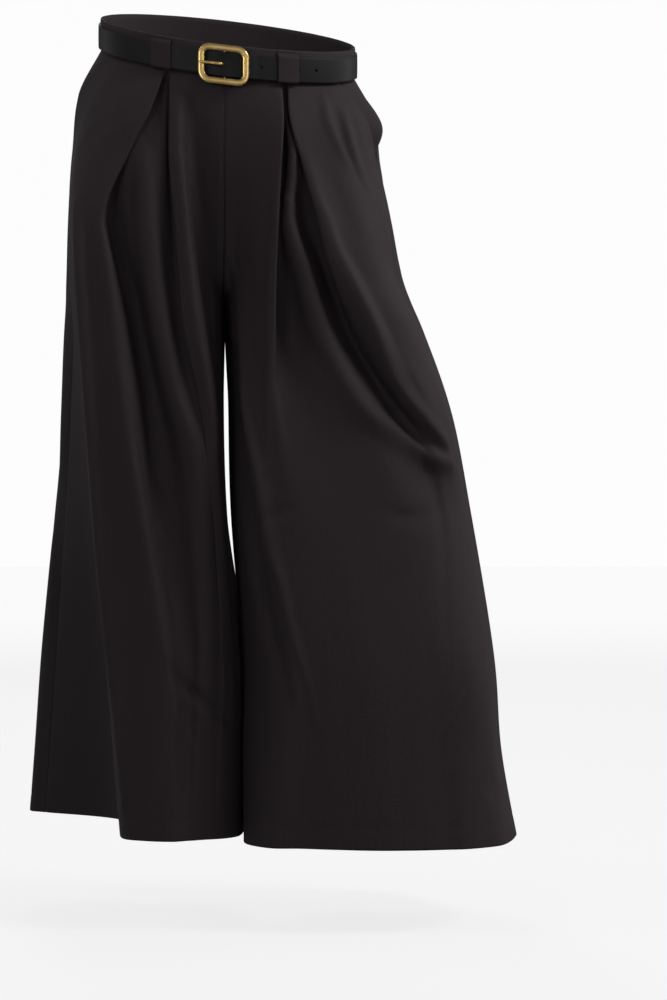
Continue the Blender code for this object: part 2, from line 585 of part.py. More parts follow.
def makeLoop(name, angle, out, cloth):
    """A wide flat loop that lies on the band above and below the belt and steps out over it."""
    lift = bandThick / 2 + loopThick / 2 + seamGap
    top = bandHeight / 2 - 1 * mm
    strapTop, strapBottom = strapHeight / 2 - strapDrop, -strapHeight / 2 - strapDrop
    half = (lift + out) / 2
    profile = np.array((
        (lift, top), (lift, strapTop + 3.6 * mm), (half, strapTop + 2.4 * mm), (out, strapTop + 1.0 * mm),
        (out + 0.3 * mm, strapTop - 6 * mm), (out + 0.3 * mm, strapBottom + 6 * mm),
        (out, strapBottom - 0.9 * mm), (half, strapBottom - 2.0 * mm), (lift, strapBottom - 3.2 * mm)))
    width = loopWidth / waistHalfWidth
    columns = np.linspace(-0.5, 0.5, 5) * width
    grid = np.zeros((len(profile), 5, 3))
    for j, column in enumerate(columns):
        plan, _ = waistPoint(np.full(len(profile), angle + column), profile[:, 0])
        grid[:, j, :2] = plan
        grid[:, j, 2] = profile[:, 1] + tilt(plan[:, 0], plan[:, 1])
    normals = normalsOf(grid, -1)
    shell(name, grid + normals * loopThick / 2, normals, loopThick, cloth)


def makeWaistband(cloth):
    angles = np.linspace(0, 2 * np.pi, 64, endpoint=False)
    centres, normals = waistPoint(angles, np.zeros(64))
    sweep("waistband", centres, normals, np.full(64, bandHeight), 0.0, bandThick, cloth, True, 0.5 * mm)


def main():
    for thing in list(bpy.data.objects):
        bpy.data.objects.remove(thing, do_unlink=True)
    cloth = makeMaterial("black_crepe", (0.012, 0.010, 0.012), 0.85, 0.0)
    leather = makeMaterial("black_leather", (0.010, 0.009, 0.009), 0.4, 0.0)
    gold = makeMaterial("brushed_gold", (0.75, 0.52, 0.20), 0.32, 1.0)
    for side in ("left", "right"):
        makeLeg(side, cloth)
    makeWaistband(cloth)
    makeBelt(leather, gold)
    single = restOut + strapThick / 2 + 0.5 * mm + loopThick / 2
    double = single + strapThick + 0.4 * mm
    makeLoop("loop_front_left", angleAt(78 * mm), double, cloth)
    makeLoop("loop_front_right", angleAt(-80 * mm), single, cloth)
    makeLoop("loop_back_left", np.pi - angleAt(70 * mm), single, cloth)
    makeLoop("loop_back_right", np.pi + angleAt(70 * mm), single, cloth)


main()
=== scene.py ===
# Palazzo trousers: the looks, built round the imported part.
# The wearer faces -Y and their left is +X. Tables are in millimetres, as a cutter measures, and everything
# else is in metres.

import math

import bpy
import numpy as np
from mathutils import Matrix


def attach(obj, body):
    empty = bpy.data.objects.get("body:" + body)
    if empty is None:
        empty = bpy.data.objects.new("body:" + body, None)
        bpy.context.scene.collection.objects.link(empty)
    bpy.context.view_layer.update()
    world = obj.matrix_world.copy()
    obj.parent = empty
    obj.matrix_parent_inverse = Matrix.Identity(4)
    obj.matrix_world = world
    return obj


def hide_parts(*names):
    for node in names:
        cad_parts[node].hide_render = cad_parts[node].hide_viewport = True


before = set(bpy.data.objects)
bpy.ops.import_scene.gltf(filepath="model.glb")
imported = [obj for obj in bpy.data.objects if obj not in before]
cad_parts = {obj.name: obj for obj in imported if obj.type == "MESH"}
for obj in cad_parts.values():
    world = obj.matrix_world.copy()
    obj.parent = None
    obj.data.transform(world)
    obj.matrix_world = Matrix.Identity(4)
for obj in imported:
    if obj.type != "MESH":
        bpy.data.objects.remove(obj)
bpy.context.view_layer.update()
print("frame loaded")

mm = 0.001

# Camera: level, at knee height, a long lens, a little to the wearer's left

cameraSetup = {
    "place": (0.1372, -3.4, -0.5868),
    "lens": 94.14,
    "sensor": 36.0,  # mm along the photo's height
    "clip": (0.05, 60.0),
}


def makeCamera(setup):
    camera = bpy.data.cameras.new("camera")
    camera.lens, camera.sensor_width, camera.sensor_fit = setup["lens"], setup["sensor"], "AUTO"
    camera.clip_start, camera.clip_end = setup["clip"]
    thing = bpy.data.objects.new("camera", camera)
    thing.location = setup["place"]
    thing.rotation_euler = (math.pi / 2, 0, 0)
    bpy.context.scene.collection.objects.link(thing)
    bpy.context.scene.camera = thing


makeCamera(cameraSetup)
print("camera placed")

# Node maths: an expression on sockets adds the nodes that work it out


class Sock:
    # Wraps one output socket, so that a * b, 1 - a and the like add Math nodes
    def __init__(self, tree, socket):
        self.tree, self.socket = tree, socket

    def maths(self, operation, *values):
        return addNode(self.tree, "ShaderNodeMath", {"operation": operation}, dict(enumerate(values)))

    def __add__(self, other):
        return self.maths("ADD", self, other)

    def __radd__(self, other):
        return self.maths("ADD", other, self)

    def __sub__(self, other):
        return self.maths("SUBTRACT", self, other)

    def __rsub__(self, other):
        return self.maths("SUBTRACT", other, self)

    def __mul__(self, other):
        return self.maths("MULTIPLY", self, other)

    def __rmul__(self, other):
        return self.maths("MULTIPLY", other, self)

    def sine(self):
        return self.maths("SINE", self)

    def clamp(self):
        return addNode(self.tree, "ShaderNodeClamp", None, {"Value": self})

    def ramp(self, low, high):
        # 0 at low and 1 at high, smooth between
        return addNode(self.tree, "ShaderNodeMapRange", {"interpolation_type": "SMOOTHSTEP"},
                       {"Value": self, "From Min": low, "From Max": high})

    def between(self, low, high):
        # low at 0 and high at 1
        return self * (high - low) + low


def addNode(tree, kind, settings=None, inputs=None, output=0):
    # Any node: its settings first, then the values or links of its sockets
    node = tree.nodes.new(kind)
    for key, value in (settings or {}).items():
        setattr(node, key, value)
    for key, value in (inputs or {}).items():
        if isinstance(value, Sock):
            tree.links.new(value.socket, node.inputs[key])
        else:
            node.inputs[key].default_value = value
    return Sock(tree, node.outputs[output])


def objectPlace(tree):
    return addNode(tree, "ShaderNodeTexCoord", output="Object")


def noise(tree, place, scale, detail, dimensions="3D", **more):
    return addNode(tree, "ShaderNodeTexNoise", {"noise_dimensions": dimensions},
                   {"Vector": place, "Scale": scale, "Detail": detail} | more)


def stretch(tree, place, scale):
    return addNode(tree, "ShaderNodeMapping", None, {"Vector": place, "Scale": scale})


def bump(tree, relief, height, **more):
    strength, depth = relief
    return addNode(tree, "ShaderNodeBump", None,
                   {"Strength": strength, "Distance": depth, "Height": height} | more)


def mixColour(tree, factor, a, b):
    return addNode(tree, "ShaderNodeMix", {"data_type": "RGBA"}, {0: factor, 6: a, 7: b}, 2)


def startMaterial(name):
    material = bpy.data.materials.new(name)
    material.use_nodes = True
    tree = material.node_tree
    return material, tree, tree.nodes["Principled BSDF"]


def paint(shader, links, values):
    # What varies is linked, and what is the same all over is set on the socket
    for name, value in links.items():
        shader.id_data.links.new(value.socket, shader.inputs[name])
    for name, value in values.items():
        shader.inputs[name].default_value = value


# Crepe: a plain weave of hard-twisted yarns. It follows the cut, by each piece's own UV map in metres.

crepe = {
    "yarnPitch": 0.62 * mm,
    "wobbleScale": 900.0,
    "wobbleTurn": 1.6,              # how far the yarns stray, in radians of the weave
    "grainScale": 620.0,
    "slubScale": (420.0, 9.0, 1.0),
    "cloudScale": 7.0,
    "lintScale": 42.0,
    "lintSize": (0.015, 0.035),
    "deep": (0.0086, 0.0062, 0.0078, 1),
    "light": (0.0136, 0.0104, 0.0124, 1),
    "dust": (0.026, 0.022, 0.024, 1),
    "roughness": (0.66, 0.86),
    "weaveRelief": (0.55, 0.16 * mm),  # strength and depth
    "grainRelief": (0.6, 0.22 * mm),
    "specular": 0.54,
    "shineTint": (1.0, 0.83, 0.90, 1),
    "sheen": 0.03,
    "sheenRoughness": 0.35,
    "sheenTint": (0.85, 0.78, 0.82, 1),
}


def makeCrepe(size):
    material, tree, shader = startMaterial("black_crepe_look")
    uv = addNode(tree, "ShaderNodeUVMap", {"uv_map": "cut"})
    u = addNode(tree, "ShaderNodeSeparateXYZ", None, {0: uv})
    v = Sock(tree, u.socket.node.outputs[1])
    # warp and weft: two sine waves, each shown where the other goes under
    wobble = noise(tree, uv, size["wobbleScale"], 2.0, "2D") * size["wobbleTurn"]
    turns = 2 * math.pi / size["yarnPitch"]
    weave = (u * turns + wobble).sine() * (v * turns + wobble).sine() * 0.5 + 0.5
    # the pebbly grain, streaks where a yarn runs thicker, faded clouds and specks of lint
    grain = noise(tree, uv, size["grainScale"], 4.0, "2D", Roughness=0.62)
    slub = noise(tree, stretch(tree, uv, size["slubScale"]), 1.0, 3.0, "2D")
    cloud = noise(tree, uv, size["cloudScale"], 3.0, "2D")
    lint = addNode(tree, "ShaderNodeTexVoronoi", {"voronoi_dimensions": "2D", "feature": "F1"},
                   {"Vector": uv, "Scale": size["lintScale"], "Randomness": 1.0})
    tone = (grain * 0.45 + slub * 0.35 + weave * 0.2).ramp(0.3, 0.72)
    colour = mixColour(tree, tone, size["deep"], size["light"])
    colour = mixColour(tree, cloud.ramp(0.45, 0.8) * 0.35, colour, size["light"])
    colour = mixColour(tree, (1 - lint.ramp(*size["lintSize"])) * 0.5, colour, size["dust"])
    fine = bump(tree, size["weaveRelief"], weave + slub * 0.6)
    paint(shader, {"Base Color": colour,
                   "Roughness": (grain * 0.6 + cloud * 0.4).between(*size["roughness"]),
                   "Normal": bump(tree, size["grainRelief"], grain, Normal=fine)},
          {"Specular IOR Level": size["specular"], "Specular Tint": size["shineTint"],
           "Sheen Weight": size["sheen"], "Sheen Roughness": size["sheenRoughness"],
           "Sheen Tint": size["sheenTint"]})
    return material


# Thread, leather and metal

thread = {
    "colour": (0.012, 0.0105, 0.012, 1),
    "roughness": (0.6, 0.8),
    "twistScale": 900.0,
    "relief": (0.4, 0.1 * mm),
}
leather = {
    "colour": (0.0052, 0.0048, 0.0051, 1),
    "worn": (0.015, 0.0138, 0.0138, 1),
    "roughness": (0.44, 0.58),
    "wornRoughness": 0.15,  # more than the rest
    "poreScale": 900.0,
    "grainScale": 320.0,
    "cloudScale": 26.0,
    "relief": (0.45, 0.10 * mm),
    "specular": 0.22,
    "coat": 0.02,
    "coatRoughness": 0.4,
}
gold = {
    "colour": (0.72, 0.47, 0.155, 1),
    "pale": (0.86, 0.63, 0.27, 1),
    "roughness": (0.20, 0.36),
    "brushScale": (60.0, 60.0, 2600.0),
    "cloudScale": 60.0,
    "relief": (0.25, 0.05 * mm),
}


def makeThread(size):
    material, tree, shader = startMaterial("thread")
    twist = addNode(tree, "ShaderNodeTexWave", {"wave_type": "BANDS", "bands_direction": "DIAGONAL"},
                    {"Vector": objectPlace(tree), "Scale": size["twistScale"], "Distortion": 1.0})
    paint(shader, {"Roughness": twist.between(*size["roughness"]),
                   "Normal": bump(tree, size["relief"], twist)}, {"Base Color": size["colour"]})
    return material


def makeLeather(size):
    material, tree, shader = startMaterial("black_leather_look")
    place = objectPlace(tree)
    pores = addNode(tree, "ShaderNodeTexVoronoi", {"feature": "DISTANCE_TO_EDGE"},
                    {"Vector": place, "Scale": size["poreScale"], "Randomness": 1.0})
    grain = noise(tree, place, size["grainScale"], 4.0)
    cloud = noise(tree, place, size["cloudScale"], 3.0)
    edge = addNode(tree, "ShaderNodeAttribute", {"attribute_name": "edge"}, None, 2)
    wear = (edge * (cloud.ramp(0.35, 0.6) * 0.5 + 0.5)).clamp()
    rough = (cloud * 0.5 + grain * 0.5).between(*size["roughness"]) + wear * size["wornRoughness"]
    height = pores.ramp(0.0, 0.12) * 0.5 + grain * 0.5
    paint(shader, {"Base Color": mixColour(tree, wear, size["colour"], size["worn"]), "Roughness": rough,
                   "Normal": bump(tree, size["relief"], height)},
          {"Specular IOR Level": size["specular"], "Coat Weight": size["coat"],
           "Coat Roughness": size["coatRoughness"]})
    return material


def makeGold(size):
    material, tree, shader = startMaterial("brushed_gold_look")
    place = objectPlace(tree)
    streaks = noise(tree, stretch(tree, place, size["brushScale"]), 1.0, 4.0)
    cloud = noise(tree, place, size["cloudScale"], 2.0)
    tone = (streaks * 0.6 + cloud * 0.4).ramp(0.35, 0.65)
    paint(shader, {"Base Color": mixColour(tree, tone, size["colour"], size["pale"]),
                   "Roughness": streaks.ramp(0.3, 0.7).between(*size["roughness"]),
                   "Normal": bump(tree, size["relief"], streaks)}, {"Metallic": 1.0})
    return material


crepeLook = makeCrepe(crepe)
threadLook = makeThread(thread)
leatherLook = makeLeather(leather)
goldLook = makeGold(gold)
print("materials made")

# Surfaces: grids worked out with numpy


def splineThrough(points, places):
    # A centripetal Catmull-Rom curve through the points on axis -2. places[i] lists where interval i is
    # sampled, from 0 up to but not with 1.
    first = 2 * points[..., :1, :] - points[..., 1:2, :]
    last = 2 * points[..., -1:, :] - points[..., -2:-1, :]
    padded = np.concatenate([first, points, last], axis=-2)
    chords = np.sqrt(np.linalg.norm(np.diff(padded, axis=-2), axis=-1, keepdims=True)) + 1e-6
    out = []
    for i, place in enumerate(places):
        p0, p1, p2, p3 = (padded[..., i + k:i + k + 1, :] for k in range(4))
        c0, c1, c2 = (chords[..., i + k:i + k + 1, :] for k in range(3))
        m1 = c1 * ((p1 - p0) / c0 - (p2 - p0) / (c0 + c1) + (p2 - p1) / c1)
        m2 = c1 * ((p2 - p1) / c1 - (p3 - p1) / (c1 + c2) + (p3 - p2) / c2)
        t = np.asarray(place)[:, None]
        out.append((2 * t**3 - 3 * t**2 + 1) * p1 + (t**3 - 2 * t**2 + t) * m1
                   + (3 * t**2 - 2 * t**3) * p2 + (t**3 - t**2) * m2)
    out.append(points[..., -1:, :])
    return np.concatenate(out, axis=-2)


def even(count):
    return np.arange(count) / count


def smoothLine(points, steps):
    # The spline with the same number of steps between any two points
    return splineThrough(points, [even(steps)] * (len(points) - 1))


def unit(vectors):
    return vectors / np.maximum(np.linalg.norm(vectors, axis=-1, keepdims=True), 1e-12)


def normalsOf(grid, flip):
    # The cross product of the steps across and down
    return unit(np.cross(np.gradient(grid, axis=1), np.gradient(grid, axis=0))) * flip


def lengthsOf(grid, axis):
    # Running length along an axis, from 0
    steps = np.linalg.norm(np.diff(grid, axis=axis), axis=-1)
    start = np.zeros_like(np.take(steps, [0], axis=axis))
    return np.concatenate([start, np.cumsum(steps, axis=axis)], axis=axis)


def gridFaces(rows, cols, flip=False, closedAcross=False, closedDown=False, keep=None):
    # A quad for each cell. A closed grid goes on from its last line to its first.
    index = np.arange(rows * cols).reshape(rows, cols)
    if closedAcross:
        index = np.concatenate([index, index[:, :1]], axis=1)
    if closedDown:
        index = np.concatenate([index, index[:1]])
    quads = np.stack([index[:-1, :-1], index[1:, :-1], index[1:, 1:], index[:-1, 1:]], axis=-1)
    if flip:
        quads = quads[..., ::-1]
    return quads.reshape(-1, 4) if keep is None else quads[keep]


def meshPiece(name, points, faces, material, uv=None, marks=None):
    # faces is an array of quads, and uv and marks hold a value for each point
    points, faces = np.asarray(points, np.float32).reshape(-1, 3), np.asarray(faces, np.int32)
    mesh = bpy.data.meshes.new(name)
    mesh.vertices.add(len(points))
    mesh.vertices.foreach_set("co", points.ravel())
    mesh.loops.add(faces.size)
    mesh.loops.foreach_set("vertex_index", faces.ravel())
    mesh.polygons.add(len(faces))
    mesh.polygons.foreach_set("loop_start", np.arange(0, faces.size, 4, dtype=np.int32))
    mesh.update(calc_edges=True)
    mesh.polygons.foreach_set("use_smooth", np.ones(len(faces), bool))
    if uv is not None:
        layer = mesh.uv_layers.new(name="cut")
        corners = np.asarray(uv, np.float32).reshape(-1, 2)[faces.ravel()]
        layer.uv.foreach_set("vector", corners.ravel())
    for label, values in (marks or {}).items():
        attribute = mesh.attributes.new(label, "FLOAT", "POINT")
        attribute.data.foreach_set("value", np.asarray(values, np.float32).ravel())
    mesh.materials.append(material)
    mesh.validate()
    thing = bpy.data.objects.new(name, mesh)
    bpy.context.scene.collection.objects.link(thing)
    return thing


def solidify(thing, thick, bevel=None):
    modifier = thing.modifiers.new("thickness", "SOLIDIFY")
    modifier.thickness, modifier.offset, modifier.use_even_offset = thick, -1.0, False
    if bevel:
        rounded = thing.modifiers.new("edges", "BEVEL")
        rounded.width, rounded.segments = bevel
        rounded.limit_method, rounded.angle_limit = "ANGLE", math.radians(50)


def finishPiece(thing, nodes):
    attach(thing, "root")
    if nodes:
        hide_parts(*nodes)


def clothPiece(name, grid, uv, thick, flip=False, bevel=None):
    # A sheet of crepe that stands for the node of its name
    piece = meshPiece(name + "_cloth", grid, gridFaces(*grid.shape[:2], flip), crepeLook, uv)
    solidify(piece, thick, bevel)
    finishPiece(piece, [name])
    return piece


def clothUv(grid, middle):
    # u is the length across from one column, and v the length down: the weave then runs with the cut
    across, down = lengthsOf(grid, 1), lengthsOf(grid, 0)
    return np.stack([across - across[:, middle:middle + 1],
                     np.broadcast_to(down[:, middle:middle + 1], across.shape)], axis=-1)


# The waist and the panels' lines

waist = {
    "halfWidth": 164 * mm, "halfDepth": 100 * mm, "bandHeight": 42 * mm, "bandThick": 3 * mm,
    "tiltForward": 0.33, "tiltSide": -0.118, "seamGap": 0.36 * mm,
}


def tilt(x, y):
    # The waist's plane drops towards the front and towards the wearer's left
    return waist["tiltForward"] * y + waist["tiltSide"] * x


hemHeight = {"left": -1021, "right": -1014}
# Stations down the panels: height, and the share of the waist's tilt that is left there
stations = (
    ("waist", -21, 1.0), ("mouth", -75, 0.7), ("hip", -143, 0.45), ("seat", -222, 0.2),
    ("fork", -300, 0.0), ("thigh", -370, 0.0), ("lower thigh", -470, 0.0), ("knee", -600, 0.0),
    ("calf", -800, 0.0), ("ankle", -910, 0.0), ("hem", None, 0.0),
)
rowPlaces = (14, 14, 16, 18, 26, 20, 26, 38, 22, 22)  # rows between the stations

# Each line: how many steps the section takes to the next line, then x and y at the eleven stations.
# "tuck" lines lie behind the fold before or after them.
frontLines = {"right": (
    ("inner edge", 2, (0, 0, 0, 0, -2, -4, -6.5, -2.6, 16.5, 18, 19.5),
     (-100, -103, -99, -90, -70, -2, 5, 8, 12, 16, 20)),
    ("inner thigh", 2, (-8, -8, -8, -9, -9, -8, -5.5, -1.5, 16.5, 18, 19.5),
     (-100, -103, -99.5, -91, -81, -56, -50, -50, -48, -43, -38)),
    ("inner corner", 2, (-18, -18, -18, -18, -15, -12, -5, 0, 14, 15, 16),
     (-99.5, -103, -99.5, -91.5, -88, -88, -74, -80, -74, -68, -62)),
    ("centre panel", 2, (-40, -42, -43, -40, -32, -22, -9, -2, 9, 8.5, 8),
     (-96.5, -102.5, -101, -98, -97, -97, -91, -93, -84, -80, -76)),
    ("centre ridge", 2, (-58, -57.5, -54.5, -46.5, -38, -29.5, -15, -5, 3, 0, -3),
     (-93.5, -110, -121.5, -130, -133, -132, -119, -100, -90, -88, -86)),
    ("centre fold", 3, (-69.5, -69, -68.5, -62, -56, -50, -30, -14, -2, -6, -10),
     (-90, -106, -117, -124, -127.5, -128, -118, -103, -94, -92, -90)),
    ("centre tuck", 3, (-54, -54, -54, -50, -47, -42, -27, -15, -5, -9, -13),
     (-84, -103, -112, -117, -120, -122.5, -116, -102.5, -95, -93, -91.5)),
    ("groove", 2, (-66, -70, -70, -66, -62, -56, -34, -18, -9, -13.5, -18),
     (-80, -97, -106, -108, -112, -115, -115, -105, -97, -95.5, -94)),
    ("underlay ridge", 2, (-73, -75.5, -76, -78, -77, -70, -49, -27, -18, -25, -32),
     (-79, -99, -111, -117, -121, -123.5, -121, -110, -103, -102, -101)),
    ("underlay", 2, (-77, -84, -96, -100, -93, -84, -63, -40, -30, -35, -40),
     (-78.5, -96, -113, -119, -124, -125, -120, -110, -107, -106, -105)),
    ("underlay valley", 2, (-81, -94, -115, -124, -116, -102, -80, -62, -42, -44, -46),
     (-78, -95, -110, -99, -100, -101, -101, -102, -103, -105, -107)),
    ("outer tuck", 3, (-91, -107, -132, -148, -134, -116, -97, -83, -56, -55, -54),
     (-79, -96, -108, -99, -103, -104, -103, -107, -109, -110.5, -112)),
    ("outer fold", 3, (-76.5, -92.6, -122, -151.5, -140.9, -129.4, -115.6, -101, -69, -66, -64),
     (-88, -108, -115, -121, -130, -133, -133, -130, -121, -119, -117)),
    ("outer panel", 2, (-108, -132, -158, -171, -163, -154, -146, -132, -109, -103, -97),
     (-75, -93, -102, -114, -123, -127, -126, -122, -114, -111.5, -110)),
    ("wing fold", 3, (-130, -165, -186, -189, -183, -178.5, -172, -163.5, -145, -136, -127.5),
     (-61, -64, -74, -104, -118, -122, -121, -114, -102, -96, -91)),
    ("wing valley", 2, (-140, -178, -196, -199, -194, -187, -180, -172, -157, -152, -148),
     (-52, -40, -32, -46, -54, -56, -44, -12, 52, 80, 108)),
    ("outer edge", 0, (-147, -188, -201.5, -206.5, -206, -201, -206, -216.7, -236.8, -247.4, -258),
     (-44, -20, 0, 0, 0, 0, 20, 60, 130, 161.5, 193)),
), "left": (
    ("inner edge", 2, (0, 0, 0, 0, -2, -4, 1, 6, 26, 27, 28),
     (-100, -103, -99, -90, -70, -2, 3, 4, 5, -7.5, -20)),
    ("inner thigh", 2, (8, 8, 8, 8, 6, 5.5, 5, 9, 25, 25.5, 26),
     (-100, -103.5, -100, -91.5, -82, -58, -54, -58, -64, -72, -82)),
    ("inner corner", 2, (18, 17, 16, 15, 14, 17, 24, 47, 84, 72, 60),
     (-99.5, -104, -101, -93, -91, -100, -118, -129, -134, -130, -126)),
    ("centre panel", 2, (42, 42, 40, 38, 36, 36, 44, 66, 106, 98, 92),
     (-96.5, -106.5, -109, -107, -107, -112, -124, -132, -138, -134, -130)),
    ("centre fold", 3, (71, 74, 71.4, 68.3, 65.3, 64, 64, 88, 128, 126.5, 125),
     (-90, -112, -124, -130, -132, -132, -133, -136, -141, -139, -137)),
    ("centre tuck", 3, (56, 59, 57, 56, 56, 61, 74, 108, 146, 145.5, 145),
     (-83, -104, -113, -118, -119, -119, -129, -137, -142, -141.5, -141)),
    ("groove", 2, (68, 72, 75, 71, 77, 84, 98, 145, 175, 176.5, 178),
     (-79, -99, -101, -117, -110, -108, -126, -136, -144, -145.5, -147)),
    ("underlay", 2, (75, 78, 87, 83, 104, 127, 176, 222, 228, 229.5, 231),
     (-78, -102, -116, -127, -128, -130, -130, -128, -141, -144, -147)),
    ("underlay valley", 2, (82, 83, 97, 100, 124, 150, 210, 256, 262, 265, 268),
     (-77, -97, -108, -104, -104, -104, -104, -114, -136, -139, -142)),
    ("outer tuck", 3, (95, 98, 115, 132, 150, 166, 225, 270, 278, 282, 286),
     (-77, -97, -105, -106, -109, -107, -103, -104, -132, -135, -138)),
    ("outer fold", 3, (79.5, 83, 100.2, 120.9, 141, 171, 241, 281, 291, 296.5, 302),
     (-87, -109, -119, -128, -129, -118, -109, -98, -128, -131, -134)),
    ("outer panel", 2, (108, 110, 122, 139, 160, 195, 260, 294, 312, 319, 326),
     (-75.3, -99, -114, -125, -129, -123, -109, -80, -117, -118, -120)),
    ("wing fold", 3, (130, 146, 162, 179, 196, 230, 276, 303, 328, 337, 349),
     (-61, -84, -96, -106, -110, -105, -84, -56, -92, -96, -98)),
    ("wing valley", 2, (139, 166, 182, 200, 212, 246, 283, 308.5, 338, 347, 364),
     (-53, -66, -64, -58, -56, -50, -38, -26, -52, -54, -56)),
    ("outer edge", 0, (145.5, 180, 194, 209, 218, 252, 288.5, 314.5, 346, 353.5, 374.5),
     (-46, -46, -18, -10, -10, 0, 5, 8, 0, 2, 0)),
)}
backLines = {"right": (
    ("side seam", 1, (-164, -193, -201.5, -206.5, -206, -201, -206, -216.7, -236.8, -247.4, -258),
     (2, 0, 0, 0, 0, 0, 20, 60, 130, 161.5, 193)),
    ("side", 2, (-158, -191, -202, -208.5, -212, -215.5, -221, -233.5, -259, -270, -281),
     (27, 32, 32, 32, 32, 24, 36, 80, 150, 181.5, 213)),
    ("outer back", 2, (-135, -165, -183, -190, -192, -196, -202, -212, -228, -234, -240),
     (57, 75, 80, 88, 95, 97, 110, 150, 215, 241.5, 268)),
    ("outer ridge", 2, (-105, -130, -148, -155, -158, -160, -165, -170, -176, -180.5, -185),
     (77, 98, 112, 122, 130, 138, 158, 195, 252, 276, 300)),
    ("valley", 2, (-75, -95, -108, -115, -118, -120, -120, -122, -122, -123.5, -125),
     (89, 112, 124, 132, 137, 144, 160, 188, 232, 250, 268)),
    ("inner ridge", 2, (-45, -55, -64, -68, -70, -72, -74, -74, -70, -71, -72),
     (96, 121, 135, 143, 148, 152, 165, 188, 225, 243.5, 262)),
    ("inner corner", 2, (-22, -25, -28, -30, -28, -26, -24, -22, -10, -11, -12),
     (99, 124, 138, 144, 146, 145, 150, 162, 185, 196.5, 208)),
    ("inner thigh", 2, (-10, -10, -11, -10, -9, -12, -11.5, -7.5, 21, 21.2, 21.5),
     (100, 125, 139, 140, 122, 68, 75, 80, 100, 109, 118)),
    ("inner edge", 0, (0, 0, 0, 0, -2, -4, -6.5, -2.6, 16.5, 18, 19.5),
     (100, 125, 138, 134, 96, -2, 5, 8, 12, 16, 20)),
), "left": (
    ("side seam", 1, (164, 190, 194, 209, 218, 252, 288.5, 314.5, 346, 353.5, 374.5),
     (2, 0, -18, -10, -10, 0, 5, 8, 0, 2, 0)),
    ("side", 2, (158, 187, 197, 212, 228, 256, 290, 315, 346, 355, 372),
     (27, 32, 30, 28, 24, 32, 42, 48, 48, 50, 52)),
    ("outer back", 2, (135, 162, 176, 190, 206, 226, 252, 276, 304, 318, 332),
     (57, 76, 85, 92, 96, 102, 108, 115, 125, 131.5, 138)),
    ("outer ridge", 2, (105, 130, 145, 155, 167, 182, 200, 222, 248, 260, 272),
     (77, 99, 114, 126, 134, 142, 150, 160, 178, 189, 200)),
    ("valley", 2, (75, 94, 105, 112, 119, 130, 146, 165, 188, 199, 210),
     (89, 112, 126, 134, 139, 144, 148, 154, 165, 171.5, 178)),
    ("inner ridge", 2, (45, 55, 64, 69, 72, 80, 92, 106, 125, 133.5, 142),
     (96, 121, 135, 143, 147, 149, 154, 162, 178, 187, 196)),
    ("inner corner", 2, (22, 25, 28, 30, 29, 30, 36, 48, 66, 69, 72),
     (99, 124, 138, 144, 146, 140, 138, 140, 146, 148, 150)),
    ("inner thigh", 2, (10, 10, 11, 10, 6, 1, 3.5, 13, 32, 35, 38),
     (100, 125, 139, 140, 122, 68, 70, 75, 80, 75, 70)),
    ("inner edge", 0, (0, 0, 0, 0, -2, -4, 1, 6, 26, 27, 28),
     (100, 125, 138, 134, 96, -2, 3, 4, 5, -7.5, -20)),
)}
# Heights that differ from the station's, where the rows bend down along the crotch seam
forkHeights = {
    "front": {"inner edge": {4: -322, 5: -345, 6: -462}, "inner thigh": {4: -311, 5: -355, 6: -466}},
    "back": {"inner edge": {3: -226, 4: -315, 5: -345, 6: -462}, "inner thigh": {4: -304, 5: -355, 6: -466}},
}

